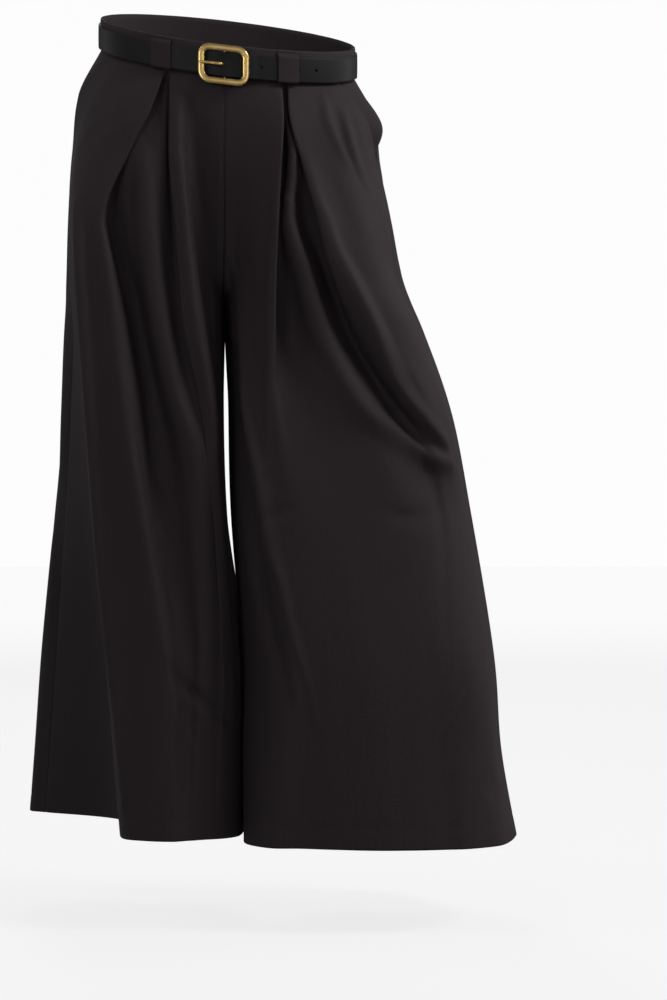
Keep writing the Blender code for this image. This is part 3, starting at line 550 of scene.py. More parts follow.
# Creases, listed by the side they are seen from: (which side is steeper, from -1 to 1, half width,
# then points along the crease). A point of a front or back crease is x, z and height, and of a side one
# y, z and height. A height below 0 is a trough.
creases = {"front_right": {
    "front": (
        # the strip's right edge
        (0.4, 6.3, (-55, -155, 1.5), (-48, -199, 2), (-45, -267, 2.5), (-37, -337, 2.5), (-28, -395, 2.5),
         (-18, -453, 2), (-10, -507, 0)),
        # the hollow beside it
        (-0.4, 16.3, (-42, -97, -2.6), (-36, -143, -6), (-30, -212, -9), (-23, -274, -8.6),
         (-18, -337, -5), (-13, -387, -2)),
        # drags from the pleat
        (0, 3.3, (-51, -155, 0.5), (-45, -164, 1.4), (-38, -174, 0.4)),
        (0, 3.3, (-48, -180, 0.5), (-43, -187, 1.2), (-37, -195, 0.3)),
        # below the mouth of the fold
        (0, 5.0, (-104, -124, -0.6), (-94, -138, -1.4), (-82, -152, -0.4)),
        # pocket creases
        (0, 5.0, (-181, -132, 0.4), (-175, -119, 1.4), (-166, -104, 0.3)),
        (0.2, 6.3, (-159, -138, 0.4), (-134, -119, 1.3), (-106, -102, 0.4)),
        (0, 7.5, (-125, -102, -0.3), (-129, -130, -1.2), (-135, -177, -0.4)),
        # wing fold: its edge and the shadow behind it
        (-0.5, 6.3, (-187, -212, 3), (-184, -274, 6), (-177, -368, 7), (-171, -455, 7), (-166, -531, 6),
         (-159, -637, 6), (-149, -762, 5), (-139, -862, 4), (-129, -968, 3)),
        (0.3, 3.8, (-191, -243, -3), (-187, -324, -6), (-182, -393, -7), (-177, -462, -7),
         (-172, -524, -7), (-167, -606, -7), (-159, -699, -6.4), (-151, -787, -6), (-142, -868, -5),
         (-136, -931, -4), (-132, -968, -3)),
        # outer fold's roll
        (0.5, 10.0, (-150, -257, 1.5), (-146, -289, 2.6), (-140, -337, 3.2), (-135, -393, 3),
         (-127, -449, 3), (-119, -512, 3.2), (-107, -574, 3.2), (-96, -637, 3), (-85, -712, 2.6),
         (-71, -793, 1.9), (-55, -862, 1.4), (-30, -922, 0.8), (-15, -956, 0.2)),
        # the valley that follows it down
        (-0.5, 15.0, (-125, -393, -0.5), (-112, -462, -2), (-101, -518, -4.5), (-91, -574, -6),
         (-80, -631, -6), (-69, -687, -5.4), (-57, -737, -3.6), (-45, -781, -1.4)),
        # a drag across the shin
        (0.35, 8.8, (-72, -789, -0.8), (-55, -813, -3), (-30, -836, -4.2), (-11, -851, -4), (7, -866, -3)),
        (0, 7.5, (-57, -829, 0.6), (-30, -854, 1.4), (0, -883, 0.8)),
        # underlay's outer shoulder
        (0.2, 10.0, (-120, -168, 1), (-124, -202, 5), (-121, -239, 6), (-115, -280, 4.6), (-107, -318, 1)),
        # underlay's crest
        (0.3, 12.5, (-97, -168, 1.6), (-94, -199, 4), (-91, -243, 5.6), (-86, -287, 6), (-80, -337, 6.4),
         (-71, -397, 6.6), (-59, -459, 6), (-37, -518, 4), (-15, -581, 1)),
        # slack near the hem
        (0, 16.3, (-104, -724, 0.4), (-95, -837, 1.2), (-92, -924, 1.2), (-95, -1009, 0.8)),
        (0, 13.8, (-122, -762, -0.3), (-115, -874, -1.1), (-110, -1009, -0.8)),
        (0, 11.3, (-22, -889, -0.3), (-25, -943, -1.2), (-26, -1009, -1.2)),
        # crotch drags
        (0, 3.0, (-10, -289, -0.4), (-5, -313, -1.4), (-2, -337, -0.6)),
    ),
}, "front_left": {
    "front": (
        # outer fold's roll
        (0.5, 16.3, (100, -152, 1.5), (107, -174, 3), (118, -212, 4.5), (129, -239, 6), (140, -274, 9),
         (153, -299, 11), (172, -335, 13.4), (189, -369, 14.6), (209, -414, 15), (229, -449, 14.4),
         (250, -479, 12), (269, -508, 8), (283, -531, 3.4)),
        # the flat beyond it
        (0, 10.0, (123, -149, -0.5), (143, -205, -1.8), (158, -247, -1.2), (170, -274, 0)),
        # underlay ridge
        (0.1, 11.3, (69, -214, 1.4), (78, -245, 3.2), (88, -274, 4.4), (98, -299, 5.4), (110, -342, 6),
         (120, -377, 6.2), (140, -417, 7), (159, -450, 8), (179, -476, 9.2), (208, -501, 10),
         (237, -522, 9.4), (265, -536, 6), (294, -543, 1.4)),
        # the valley between them
        (0, 8.1, (95, -215, -0.8), (115, -262, -1.4), (133, -312, -2), (152, -362, -2.4), (173, -409, -3),
         (200, -452, -4), (225, -477, -4), (252, -504, -3.6), (273, -524, -2.6), (287, -533, -1)),
        # beside the free edge
        (0, 3.8, (83, -122, 0.6), (87, -149, 3), (82, -180, 2.6), (77, -212, 1.4)),
        (0.2, 4.4, (72, -195, 0.5), (83, -215, 1.8), (95, -235, 0.4)),
        # centre fold's roll
        (0, 5.0, (67, -180, 0.8), (64, -230, 1.8), (60, -287, 2.2), (58, -349, 2.2), (57, -412, 2),
         (55, -474, 1.8), (54, -531, 1.4), (53, -587, 0.6)),
        # soft dimples
        (0, 13.8, (168, -307, -0.4), (182, -313, -1.2), (197, -323, -0.4)),
        (0.2, 10.0, (198, -594, -0.4), (225, -607, -1.9), (260, -602, -0.8), (285, -592, -0.3)),
        (0, 7.5, (43, -617, -0.8), (67, -604, -1.6), (94, -594, -0.4)),
        # pocket creases
        (0.2, 5.0, (125, -77, 1.5), (129, -102, 3.2), (138, -127, 4), (149, -149, 3.2), (160, -168, 1.2)),
        (0.2, 4.5, (152, -97, 1.6), (157, -124, 3.4), (163, -149, 3.8), (173, -174, 3), (193, -212, 0.8)),
        (0, 4.3, (139, -89, -1.2), (147, -118, -2.6), (154, -144, -3), (165, -172, -2), (178, -199, -0.6)),
        (0, 3.8, (158, -92, -0.6), (168, -124, -2), (175, -152, -2.4), (185, -182, -1.2)),
        # inner side: its corner and the face behind it
        (-0.3, 5.0, (13, -328, 1), (19, -399, 2), (23, -468, 2.6), (29, -497, 3), (38, -543, 3.2),
         (48, -602, 3.4), (55, -647, 3.2), (68, -684, 2.8), (84, -752, 2.2), (103, -811, 1.4),
         (118, -874, 0.5)),
        (0.3, 5.6, (12, -393, -8), (15, -462, -16), (22, -524, -22), (30, -599, -24), (39, -649, -18),
         (52, -712, -12), (67, -774, -7), (84, -843, -3)),
        # crotch drags
        (0, 3.0, (3, -289, -0.4), (8, -317, -1.5), (13, -340, -0.5)),
        (0, 3.0, (7, -265, -0.3), (15, -289, -1.0), (20, -318, -0.3)),
        # slack towards the hem
        (0, 20.0, (133, -662, -0.4), (123, -774, -1.4), (110, -887, -1.6), (103, -1019, -1.4)),
        (0, 18.8, (185, -712, 0.4), (195, -837, 1.4), (200, -937, 1.6), (203, -1022, 1.2)),
        (0, 15.0, (255, -737, -0.3), (265, -849, -1.2), (272, -949, -1.4), (275, -1019, -1.2)),
        (0.2, 8.8, (344, -907, -0.6), (340, -944, -2.4), (349, -972, -1.8), (355, -1007, -0.8)),
    ),
}, "back_right": {
    "back": (
        # under the seat, then the long drapes of the leg
        (0.2, 15, (-18, -318, -2), (-62, -322, -5), (-110, -306, -4), (-152, -284, -1.5)),
        (0, 12, (-24, -356, -1), (-60, -372, -3.5), (-104, -366, -3), (-140, -350, -1)),
        (0.3, 17, (-92, -330, 1), (-96, -430, 4), (-98, -560, 5), (-100, -720, 5), (-104, -880, 4),
         (-106, -1010, 3)),
        (-0.2, 15, (-48, -400, -1), (-46, -520, -4), (-44, -680, -5), (-44, -860, -4), (-46, -1010, -3)),
        (0.2, 13, (-140, -360, -1), (-146, -500, -3.5), (-152, -660, -4.5), (-156, -850, -4),
         (-160, -1010, -3)),
        (0, 10, (-186, -420, 0.5), (-198, -560, 2.5), (-210, -720, 3), (-222, -900, 2.5)),
        (0, 9, (-30, -620, 0.5), (-66, -640, -2), (-104, -676, -1)),
        (0, 8, (-118, -90, -0.5), (-104, -150, -1.6), (-96, -215, -1)),
    ),
    "right": (
        (0.2, 13, (30, -330, -0.8), (52, -480, -3), (84, -640, -4), (120, -820, -4), (160, -980, -3)),
        (0, 9, (20, -160, -0.5), (48, -196, -2), (78, -216, -0.8)),
    ),
}, "back_left": {
    "back": (
        (-0.2, 15, (20, -316, -2), (64, -324, -5), (112, -312, -4), (156, -296, -1.5)),
        (0, 12, (22, -352, -1), (62, -374, -3.5), (112, -378, -3), (160, -366, -1)),
        (-0.3, 17, (96, -336, 1), (118, -440, 4), (142, -570, 5), (166, -720, 5), (186, -880, 4),
         (198, -1015, 3)),
        (0.2, 15, (52, -400, -1), (70, -520, -4), (92, -680, -5), (112, -860, -4), (122, -1015, -3)),
        (-0.2, 13, (152, -370, -1), (182, -500, -3.5), (212, -660, -4.5), (240, -850, -4),
         (256, -1010, -3)),
        (0, 10, (208, -400, 0.5), (240, -520, 2.5), (272, -700, 3), (298, -890, 2.5)),
        (0, 9, (40, -600, 0.5), (80, -628, -2), (124, -652, -1)),
        (0, 8, (116, -90, -0.5), (104, -150, -1.6), (98, -215, -1)),
    ),
    "left": (
        (-0.2, 13, (26, -300, -0.8), (34, -440, -2.6), (40, -600, -3.2), (44, -800, -3.4),
         (48, -1000, -2.6)),
        (0, 9, (14, -170, -0.5), (42, -204, -2), (74, -222, -0.8)),
    ),
}}
# For each side, the axis that runs across it and the way it faces
viewAxes = {
    "front": (0, (0, -1, 0)), "back": (0, (0, 1, 0)), "right": (1, (-1, 0, 0)), "left": (1, (1, 0, 0)),
}

# The panels

cloth = {
    "thick": 1.1 * mm,
    "hemTurn": 22 * mm,             # how far the turned-up hem reaches
    "hemStitch": 24 * mm,           # the stitch line's height above the edge
    "hemRoom": 0.12 * mm,           # between the layers at the turn
    "hemBend": (35, 75, 110, 150),  # degrees round the edge, one for each row of the turn
    "hemWaves": (31 * mm, 90 * mm),
    "stitchPull": 0.5 * mm,
    "stitchWidth": 2.2 * mm,
    "pucker": 9 * mm,
    "seamRoll": 0.9 * mm,           # how deep a seam's edges turn in
    "seamRollWidth": 1.6 * mm,
    "seamOpen": 0.03 * mm,          # how far each edge of a seam draws back
    "leanBelowFly": (-2 * mm, -4 * mm),
    "creaseFade": 1.6,              # a crease fades where the cloth turns away from its side
    "edgeShares": (0.006, 0.014, 0.026, 0.045, 0.075),
}


def panelKeys(lines, side, heights):
    # Every named line's points at the stations, in metres
    keys = []
    for name, _, xs, ys in lines:
        zs = np.array([hemHeight[side] if z is None else z for _, z, _ in stations], float)
        for station, height in heights.get(name, {}).items():
            zs[station] = height
        share = np.array([w for _, _, w in stations])
        x, y = np.array(xs, float), np.array(ys, float)
        keys.append(np.stack([x, y, zs + share * tilt(x, y)], axis=-1) * mm)
    return np.array(keys)


def panelGrid(lines, side, heights, fineness):
    # Lines run down as splines through the stations, and each row is a spline through the lines. Rows
    # and columns crowd at the edges, for the seams.
    rows = [even(count) for count in rowPlaces]
    rows[-1] = np.append(rows[-1], [0.985, 0.992])
    down = splineThrough(panelKeys(lines, side, heights), rows)
    columns = [even(line[1] * fineness) for line in lines[:-1]]
    close = np.array(cloth["edgeShares"])
    columns[0] = np.union1d(columns[0], close)
    columns[-1] = np.union1d(columns[-1], 1 - close)
    return splineThrough(down.transpose(1, 0, 2), columns)


def creaseShift(grid, normals, table):
    # Each crease moves the cloth along its normal by height * exp(-(distance / width)^2), where the
    # distance is to the crease's line seen from its side
    shift = np.zeros(grid.shape[:2])
    every = np.arange(shift.size)
    for view, rows in table.items():
        axis, facing = viewAxes[view]
        flat = grid[..., [axis, 2]].reshape(-1, 2)
        seen = np.clip((normals.reshape(-1, 3) @ np.array(facing)) * cloth["creaseFade"], 0, 1)
        for lean, width, *points in rows:
            path = smoothLine(np.array(points, float) * mm, 4)
            start, step = path[:-1], np.diff(path, axis=0)
            toPoint = flat[:, None] - start[None, :, :2]
            square = np.maximum((step[:, :2] ** 2).sum(-1), 1e-12)
            t = np.clip((toPoint * step[:, :2]).sum(-1) / square, 0, 1)
            away = toPoint - t[..., None] * step[:, :2]
            distance = np.linalg.norm(away, axis=-1)
            nearest = distance.argmin(axis=1)
            near, along = away[every, nearest], t[every, nearest]
            height = start[nearest, 2] + along * step[nearest, 2]
            turn = np.sign(step[nearest, 0] * near[:, 1] - step[nearest, 1] * near[:, 0])
            spread = width * mm * (1 - lean * turn)
            raised = height * np.exp(-((distance[every, nearest] / spread) ** 2)) * seen
            shift += raised.reshape(shift.shape)
    return shift


def seamDip(grid):
    # Beside a seam the cloth turns in: -depth * exp(-(distance from the edge / width)^2)
    dip = np.zeros(grid.shape[:2])
    across = lengthsOf(grid, 1)
    for distance in (across, across[:, -1:] - across):
        dip -= cloth["seamRoll"] * np.exp(-((distance / cloth["seamRollWidth"]) ** 2))
    return dip


def stitchDip(grid):
    # The hem's stitch line pulls the cloth in a little, with a faint pucker between stitches and a slow
    # wave below it
    up = lengthsOf(grid[::-1], 0)[::-1]
    across = lengthsOf(grid, 1)
    pucker = 0.7 + 0.3 * np.sin(across / cloth["pucker"])
    line = np.exp(-(((up - cloth["hemStitch"]) / cloth["stitchWidth"]) ** 2))
    short, long = cloth["hemWaves"]
    slow = np.sin(across / short + 2 * np.sin(across / long))
    below = np.exp(-(((up - 4 * mm) / (14 * mm)) ** 2)) * 0.48 * slow
    return cloth["stitchPull"] * (below - line * pucker)


def turnHem(grid, normals, uv):
    # The rows go on round the hem's edge and up inside by the turn's depth
    down = unit(grid[-1] - grid[-3])
    radius = cloth["thick"] + cloth["hemRoom"]
    angles = np.radians(cloth["hemBend"])[:, None, None]
    bend = grid[-1] - normals[-1] * radius * (1 - np.cos(angles)) + down * radius * np.sin(angles)
    up = lengthsOf(grid[::-1], 0).mean(axis=1)
    rows = np.flatnonzero((up > 0.5 * mm) & (up < cloth["hemTurn"]))
    inside = grid[::-1][rows] - normals[::-1][rows] * 2 * radius
    bendUv = uv[-1] + np.array([0, 1]) * (np.array([0.3, 0.6, 0.9, 1.2]) * mm)[:, None, None]
    insideUv = uv[-1] + np.stack([np.zeros(len(rows)), up[rows]], axis=-1)[:, None]
    return np.concatenate([grid, bend, inside]), np.concatenate([uv, bendUv, insideUv])


def makeLeg(side):
    sign = 1 if side == "left" else -1
    names = ("front_" + side, "back_" + side)
    front = panelGrid(frontLines[side], side, forkHeights["front"], 5)
    back = panelGrid(backLines[side], side, forkHeights["back"], 6)
    # the inner seam runs from the fork down and the side seam from the hip down, each on one edge
    fork, hip = sum(rowPlaces[:5]), sum(rowPlaces[:2])
    seams = ((slice(fork, None), 0, -1), (slice(hip, None), -1, 0))
    for rows, a, b in seams:
        front[rows, a] = back[rows, b] = (front[rows, a] + back[rows, b]) / 2
    bends = []
    for name, grid in zip(names, (front, back)):
        normals = normalsOf(grid, -sign)
        bends.append((normals, creaseShift(grid, normals, creases[name]) + seamDip(grid) + stitchDip(grid)))
    # both panels at a seam share its normal and its shift
    for rows, a, b in seams:
        (frontNormals, frontShift), (backNormals, backShift) = bends
        frontNormals[rows, a] = backNormals[rows, b] = unit(frontNormals[rows, a] + backNormals[rows, b])
        frontShift[rows, a] = backShift[rows, b] = (frontShift[rows, a] + backShift[rows, b]) / 2
    low, lowest = cloth["leanBelowFly"]
    lean = np.interp(np.arange(fork + 1), [sum(rowPlaces[:3]), sum(rowPlaces[:4]), fork], [0, low, lowest])
    for name, grid, (normals, shift), edge, part in zip(names, (front, back), bends, (0, -1), (4, 2)):
        # above the fork the middle edge lies in the plane between the legs
        normals[:fork, edge, 0] = -sign * np.maximum(0, -sign * normals[:fork, edge, 0])
        normals[:fork, edge] = unit(normals[:fork, edge])
        grid += normals * shift[..., None]
        inward = unit(grid[:, [2, -3]] - grid[:, [0, -1]])
        grid[:, [0, -1]] += inward * cloth["seamOpen"]
        grid[:fork + 1, edge, 0] = lean + sign * waist["seamGap"] / 2
        grid[0, :, 2] -= waist["seamGap"]
        makePanel(name, grid, normals, grid.shape[1] // part, sign > 0)


def makePanel(name, grid, normals, middle, flip):
    # The stitches on it, its hem and its sheet
    uv = clothUv(grid, middle)
    sides = np.cross(grid[1:, :-1] - grid[:-1, :-1], grid[:-1, 1:] - grid[:-1, :-1])
    stitches["hem_stitches"].append(hemStitches(grid, normals))
    if name == "front_right":
        stitches["fly_stitches"].append(flyStitches(grid, normals))
    points, uv = turnHem(grid, normals, uv)
    panel = clothPiece(name, points, uv, cloth["thick"], flip)


# Stitches

stitch = {
    "pitch": 3.4 * mm, "length": 2.7 * mm, "radius": 0.24 * mm, "sunk": 0.35,
    "flyWidth": 19 * mm, "flyDepth": 214 * mm, "flyCurve": 24 * mm,
    "shape": ((0.0, 0.25), (0.2, 0.85), (0.5, 1.0), (0.8, 0.85), (1.0, 0.25)),  # place along, thickness
}
stitches = {"hem_stitches": [], "fly_stitches": []}


def atLength(values, lengths, distance):
    # For each column, the value where the running length down it reaches the distance
    after = np.maximum(np.argmax(lengths >= distance, axis=0), 1)
    columns = np.arange(lengths.shape[1])
    low, high = lengths[after - 1, columns], lengths[after, columns]
    part = ((distance - low) / np.maximum(high - low, 1e-12))[:, None]
    return values[after - 1, columns] * (1 - part) + values[after, columns] * part


def onPanel(values, down, across, depth, aside):
    # The value at a depth down the edge and a distance aside from it, linear between the four points
    # round it
    row = np.interp(depth, down[:, 0], np.arange(len(down)))
    above = np.minimum(row.astype(int), len(down) - 2)
    part = (row - above)[:, None]
    line = across[above] * (1 - part) + across[above + 1] * part
    column = np.clip((line < aside[:, None]).sum(axis=1), 1, line.shape[1] - 1)
    every = np.arange(len(row))
    low, high = line[every, column - 1], line[every, column]
    share = ((aside - low) / np.maximum(high - low, 1e-12))[:, None]
    near, far = (values[r, column - 1] * (1 - share) + values[r, column] * share for r in (above, above + 1))
    return near * (1 - part) + far * part


def hemStitches(grid, normals):
    up = lengthsOf(grid[::-1], 0)
    return stitchRow(*(atLength(values[::-1], up, cloth["hemStitch"]) for values in (grid, normals)))


def flyStitches(grid, normals):
    # Straight down beside the middle seam, then a quarter ellipse in to it
    turn = np.linspace(0, math.pi / 2, 12)
    bend = stitch["flyDepth"] - stitch["flyCurve"]
    depth = np.concatenate([np.linspace(1 * mm, bend, 30), bend + stitch["flyCurve"] * np.sin(turn)])
    aside = np.concatenate([np.full(30, stitch["flyWidth"]), stitch["flyWidth"] * np.cos(turn)])
    down, across = lengthsOf(grid, 0), lengthsOf(grid, 1)
    path, up = (onPanel(values, down, across, depth, aside) for values in (grid, normals))
    return stitchRow(path, unit(up))


def stitchRow(path, normals):
    # At each pitch along the path lies a six-sided spindle, its ends sunk in the cloth: height r *
    # (sin(pi * t) - sunk) along its length t
    run = lengthsOf(path, 0)
    count = int(run[-1] / stitch["pitch"])
    t, thick = np.array(stitch["shape"]).T
    places = ((np.arange(count) + 0.5) * stitch["pitch"])[:, None] + (t - 0.5) * stitch["length"]
    centre, up = (np.stack([np.interp(places, run, values[:, k]) for k in range(3)], axis=-1)
                  for values in (path, normals))
    up = unit(up)
    aside = unit(np.cross(unit(np.gradient(centre, axis=1)), up))
    centre = centre + up * (stitch["radius"] * (np.sin(math.pi * t) - stitch["sunk"]))[:, None]
    angles = (np.arange(6) * math.pi / 3)[:, None]
    circle = aside[:, :, None] * np.cos(angles) + up[:, :, None] * np.sin(angles)
    points = centre[:, :, None] + circle * (stitch["radius"] * thick)[:, None, None]
    ends = [[3, 2, 1, 0], [5, 4, 3, 0], [24, 25, 26, 27], [24, 27, 28, 29]]
    sides = np.roll(gridFaces(5, 6, True, closedAcross=True), 1, axis=1)
    faces = np.concatenate([sides, ends])
    faces = faces[None] + (np.arange(count) * 30)[:, None, None]
    return points.reshape(-1, 3), faces.reshape(-1, 4)


def joinRows(name, rows):
    # Several rows of stitches as one mesh
    starts = np.cumsum([0] + [len(points) for points, _ in rows])
    faces = np.concatenate([faces + start for (_, faces), start in zip(rows, starts)])
    thing = meshPiece(name, np.concatenate([points for points, _ in rows]), faces, threadLook)
    finishPiece(thing, [])


makeLeg("left")
makeLeg("right")
for name, rows in stitches.items():
    joinRows(name, rows)
print("panels made")

# Pocket facings: the hip piece behind each pocket's mouth

facing = {
    "right": {"heights": (-21, -75, -112), "lines": (   # x and y at each height
        ((-130, -54), (-163, -46), (-184, -27)),        # below the front panel
        ((-152, -33), (-184, -19), (-190, -14)),        # at the mouth
        ((-159, -17), (-191, -9), (-193.5, -8)),        # the bulge between
        ((-163.5, 1), (-193, -1), (-195.5, -2.5)),      # at the side seam
    )},
    "left": {"heights": (-21, -84, -126), "lines": (
        ((131, -54), (158, -63), (178, -50)),
        ((151.5, -33), (175, -41), (180, -36)),
        ((159, -17), (200, -20), (188, -26)),
        ((163.5, 1), (192, -4), (190, -18)),
    )},
    "tiltShares": (1.0, 0.7, 0.55),
    "steps": ((24, 20), (12, 8, 10)),  # down between the heights, and across between the lines
    "dent": 1.0 * mm,
}


def makeFacing(side):
    x, y = np.moveaxis(np.array(facing[side]["lines"], float), -1, 0)
    z = np.array(facing[side]["heights"], float) + np.array(facing["tiltShares"]) * tilt(x, y)
    downs, acrosses = ([even(count) for count in counts] for counts in facing["steps"])
    down = splineThrough(np.stack([x, y, z], axis=-1) * mm, downs)
    grid = splineThrough(down.transpose(1, 0, 2), acrosses)
    grid[0, :, 2] -= waist["seamGap"]
    grid[:, -1, 1] -= waist["seamGap"]
    # a soft dent in its middle, where nothing holds it out: depth * sin(across)^2 * sin(along)^2
    rows, cols = grid.shape[:2]
    across, along = (np.sin(math.pi * np.linspace(0, 1, count)) ** 2 for count in (cols, rows))
    grid -= normalsOf(grid, -1 if side == "left" else 1) * (
        facing["dent"] * across * along[:, None])[..., None]
    uv = clothUv(grid, cols // 2)
    piece = clothPiece("pocket_facing_" + side, grid, uv, cloth["thick"], side == "left")


makeFacing("left")
makeFacing("right")
print("pocket facings made")

# Waistband and belt loops

band = {
    "corner": 1.3 * mm, "crown": 0.35 * mm, "wave": 0.25 * mm, "columns": 420,
    "meanRadius": 0.135,  # sets the weave's scale round it
}
loop = {
    "width": 28 * mm, "thick": 1.6 * mm, "topMargin": 1 * mm, "bevel": (0.5 * mm, 3),
    "bow": 0.35 * mm,  # how far its middle stands out beyond its edges
    "overBelt": 0.5 * mm, "frontX": (78 * mm, -80 * mm), "backX": 70 * mm,
}
strap = {
    "height": 30 * mm, "thick": 2.2 * mm, "drop": 2 * mm, "rest": 3.2 * mm, "layerGap": 0.4 * mm,
    "fold": 2.9 * mm, "foldLength": 26 * mm, "tipX": 146 * mm, "tipRound": 14 * mm,
    "crown": 0.22 * mm, "bevel": (0.45 * mm, 2), "cell": 2.2 * mm, "wornEdge": 3 * mm,
    "freeEnd": 0.2, "holes": 5, "holePitch": 23 * mm, "holeWidth": 4 * mm,
    "slotShift": 1.5 * mm, "slotStretch": 1.55,
    # grid lines round a hole, in half hole widths, and the lines beyond them up to the strap's edge
    "holeLines": (0.5, 1, 1.6, 2.3, 3.2), "outerLines": (4.4, 5.4, 6.3, 7.0),
}
buckle = {
    "x": -1 * mm, "barX": 0 * mm, "width": 64 * mm, "height": 50 * mm, "bar": 8 * mm, "thick": 3.4 * mm,
    "corner": 11 * mm, "curve": 420 * mm, "rodRadius": 1.3 * mm, "rodRoom": 0.2 * mm, "gap": 0.5 * mm,
    "square": 0.8,  # below 1 the bars' section is squarish, as cast metal with soft edges
    "outline": (14, 9), "barSides": 28, "rodSides": 16,
}


def waistPoint(angle, out):
    # The waist's ellipse at an angle from the front, moved out along its normal
    x, y = waist["halfWidth"] * np.sin(angle), -waist["halfDepth"] * np.cos(angle)
    normal = unit(np.stack([x / waist["halfWidth"] ** 2, y / waist["halfDepth"] ** 2], axis=-1))
    return np.stack([x, y], axis=-1) + normal * np.asarray(out)[..., None]


def angleAt(x):
    return math.asin(x / waist["halfWidth"])


def lifted(plan, height):
    # Plan points at a height above the waist's tilted plane
    return np.concatenate([plan, (tilt(plan[..., 0], plan[..., 1]) + height)[..., None]], axis=-1)


def makeBand(size):
    # A rounded rectangle carried round the waist: its outer face is crowned and waves a little where
    # the loops and pleats pull
    half, radius, tall = waist["bandThick"] / 2, size["corner"], waist["bandHeight"] / 2
    quarter = np.linspace(0, math.pi / 2, 5)
    flat = np.linspace(-1, 1, 15)[1:-1] * (tall - radius)
    corner = np.stack([half - radius + radius * np.cos(quarter),
                       tall - radius + radius * np.sin(quarter)], axis=1)
    side = np.concatenate([np.stack([np.full(len(flat), half), flat], axis=1), corner])
    out, up = np.concatenate([side, -side]).T
    angles = np.linspace(0, 2 * math.pi, size["columns"], endpoint=False)[:, None]
    crown = size["crown"] * (1 - (up / tall) ** 2) * (out > 0)
    wave = size["wave"] * np.sin(angles * 19 + 3 * np.sin(angles * 3)) * np.sin(angles * 7 + 1)
    plan = waistPoint(angles + 0 * out, out + crown + wave * (out > 0))
    uv = np.stack([angles * size["meanRadius"] + 0 * up, up + 0 * angles + out], axis=-1)
    faces = gridFaces(len(angles), len(up), closedAcross=True, closedDown=True)
    piece = meshPiece("waistband_cloth", lifted(plan, up), faces, crepeLook, uv)
    finishPiece(piece, ["waistband"])


def makeLoop(name, angle, out):
    # A flat strip down the band that steps out over the belt: its profile is a spline through distances
    # out and heights
    lift = waist["bandThick"] / 2 + loop["thick"] / 2 + waist["seamGap"]
    top = waist["bandHeight"] / 2 - loop["topMargin"]
    above, below = strap["height"] / 2 - strap["drop"], -strap["height"] / 2 - strap["drop"]
    middle, bulge = (lift + out) / 2, out + 0.3 * mm
    profile = smoothLine(np.array((
        (lift, top), (lift, above + 3.6 * mm), (middle, above + 2.4 * mm), (out, above + 1.0 * mm),
        (bulge, above - 6 * mm), (bulge, below + 6 * mm), (out, below - 0.9 * mm),
        (middle, below - 2.0 * mm), (lift, below - 3.2 * mm))), 6)
    columns = np.linspace(-0.5, 0.5, 19)
    bow = loop["bow"] * (1 - (2 * columns) ** 2)
    over = np.clip((profile[:, :1] - lift) / (out - lift), 0, 1)
    plan = waistPoint(angle + columns * loop["width"] / waist["halfWidth"] + 0 * over,
                      profile[:, :1] + bow * over)
    grid = lifted(plan, profile[:, 1:])
    grid = grid + normalsOf(grid, -1) * loop["thick"] / 2
    uv = clothUv(grid, len(columns) // 2)
    piece = clothPiece(name, grid, uv, loop["thick"], bevel=loop["bevel"])


makeBand(band)
single = strap["rest"] + strap["thick"] / 2 + loop["overBelt"] + loop["thick"] / 2
double = single + strap["thick"] + strap["layerGap"]  # the free end lies under this loop too
leftX, rightX = loop["frontX"]
makeLoop("loop_front_left", angleAt(leftX), double)
makeLoop("loop_front_right", angleAt(rightX), single)
makeLoop("loop_back_left", math.pi - angleAt(loop["backX"]), single)
makeLoop("loop_back_right", math.pi + angleAt(loop["backX"]), single)
print("waistband and loops made")

# Belt

turnRadius = buckle["rodRadius"] + buckle["rodRoom"] + strap["thick"] / 2  # of the strap round the rod
barOut = strap["fold"] + turnRadius
overBar = barOut + turnRadius + strap["thick"] + strap["layerGap"]


def beltPath():
    # The strap's middle in plan: the fold-back, the turn round the bar, once round the waist, over the
    # bar and on to the tip. Each table gives mm along the waist and the distance out.
    perRadian, thick, gap, rest = waist["halfWidth"], strap["thick"], strap["layerGap"], strap["rest"]
    start = angleAt(buckle["barX"])
    full = 2 * math.pi + start
    layer = strap["fold"] + thick + gap
    path = [(start + strap["foldLength"] * part / perRadian, strap["fold"]) for part in (1, 0.5)]
    path += [(start - turnRadius * math.sin(a) / perRadian, barOut - turnRadius * math.cos(a))
             for a in np.linspace(0, math.pi, 7)]
    path += [(start + d * mm / perRadian, out) for d, out in (
        (5, barOut + turnRadius * 0.75), (10, layer + 0.7 * mm), (15, layer), (23, layer),
        (31, layer - 1.2 * mm), (38, rest))]
    path += [(a, rest) for a in np.linspace(start + 50 * mm / perRadian, full - 42 * mm / perRadian, 62)]
    path += [(full + d * mm / perRadian, out) for d, out in (
        (-33, rest + 0.6 * mm), (-25, rest + 2.2 * mm), (-17, overBar - 2.4 * mm),
        (-9, overBar - 0.5 * mm), (-2, overBar), (3, overBar - 0.3 * mm), (9, layer + thick + 1.5 * mm),
        (16, layer + thick + 0.5 * mm), (24, layer + thick + gap), (33, layer + thick - gap),
        (41, rest + thick + 0.5 * mm))]
    tip = 2 * math.pi + angleAt(strap["tipX"])
    path += [(a, rest + thick + gap) for a in np.linspace(full + 50 * mm / perRadian, tip, 14)]
    return waistPoint(*np.array(path).T)


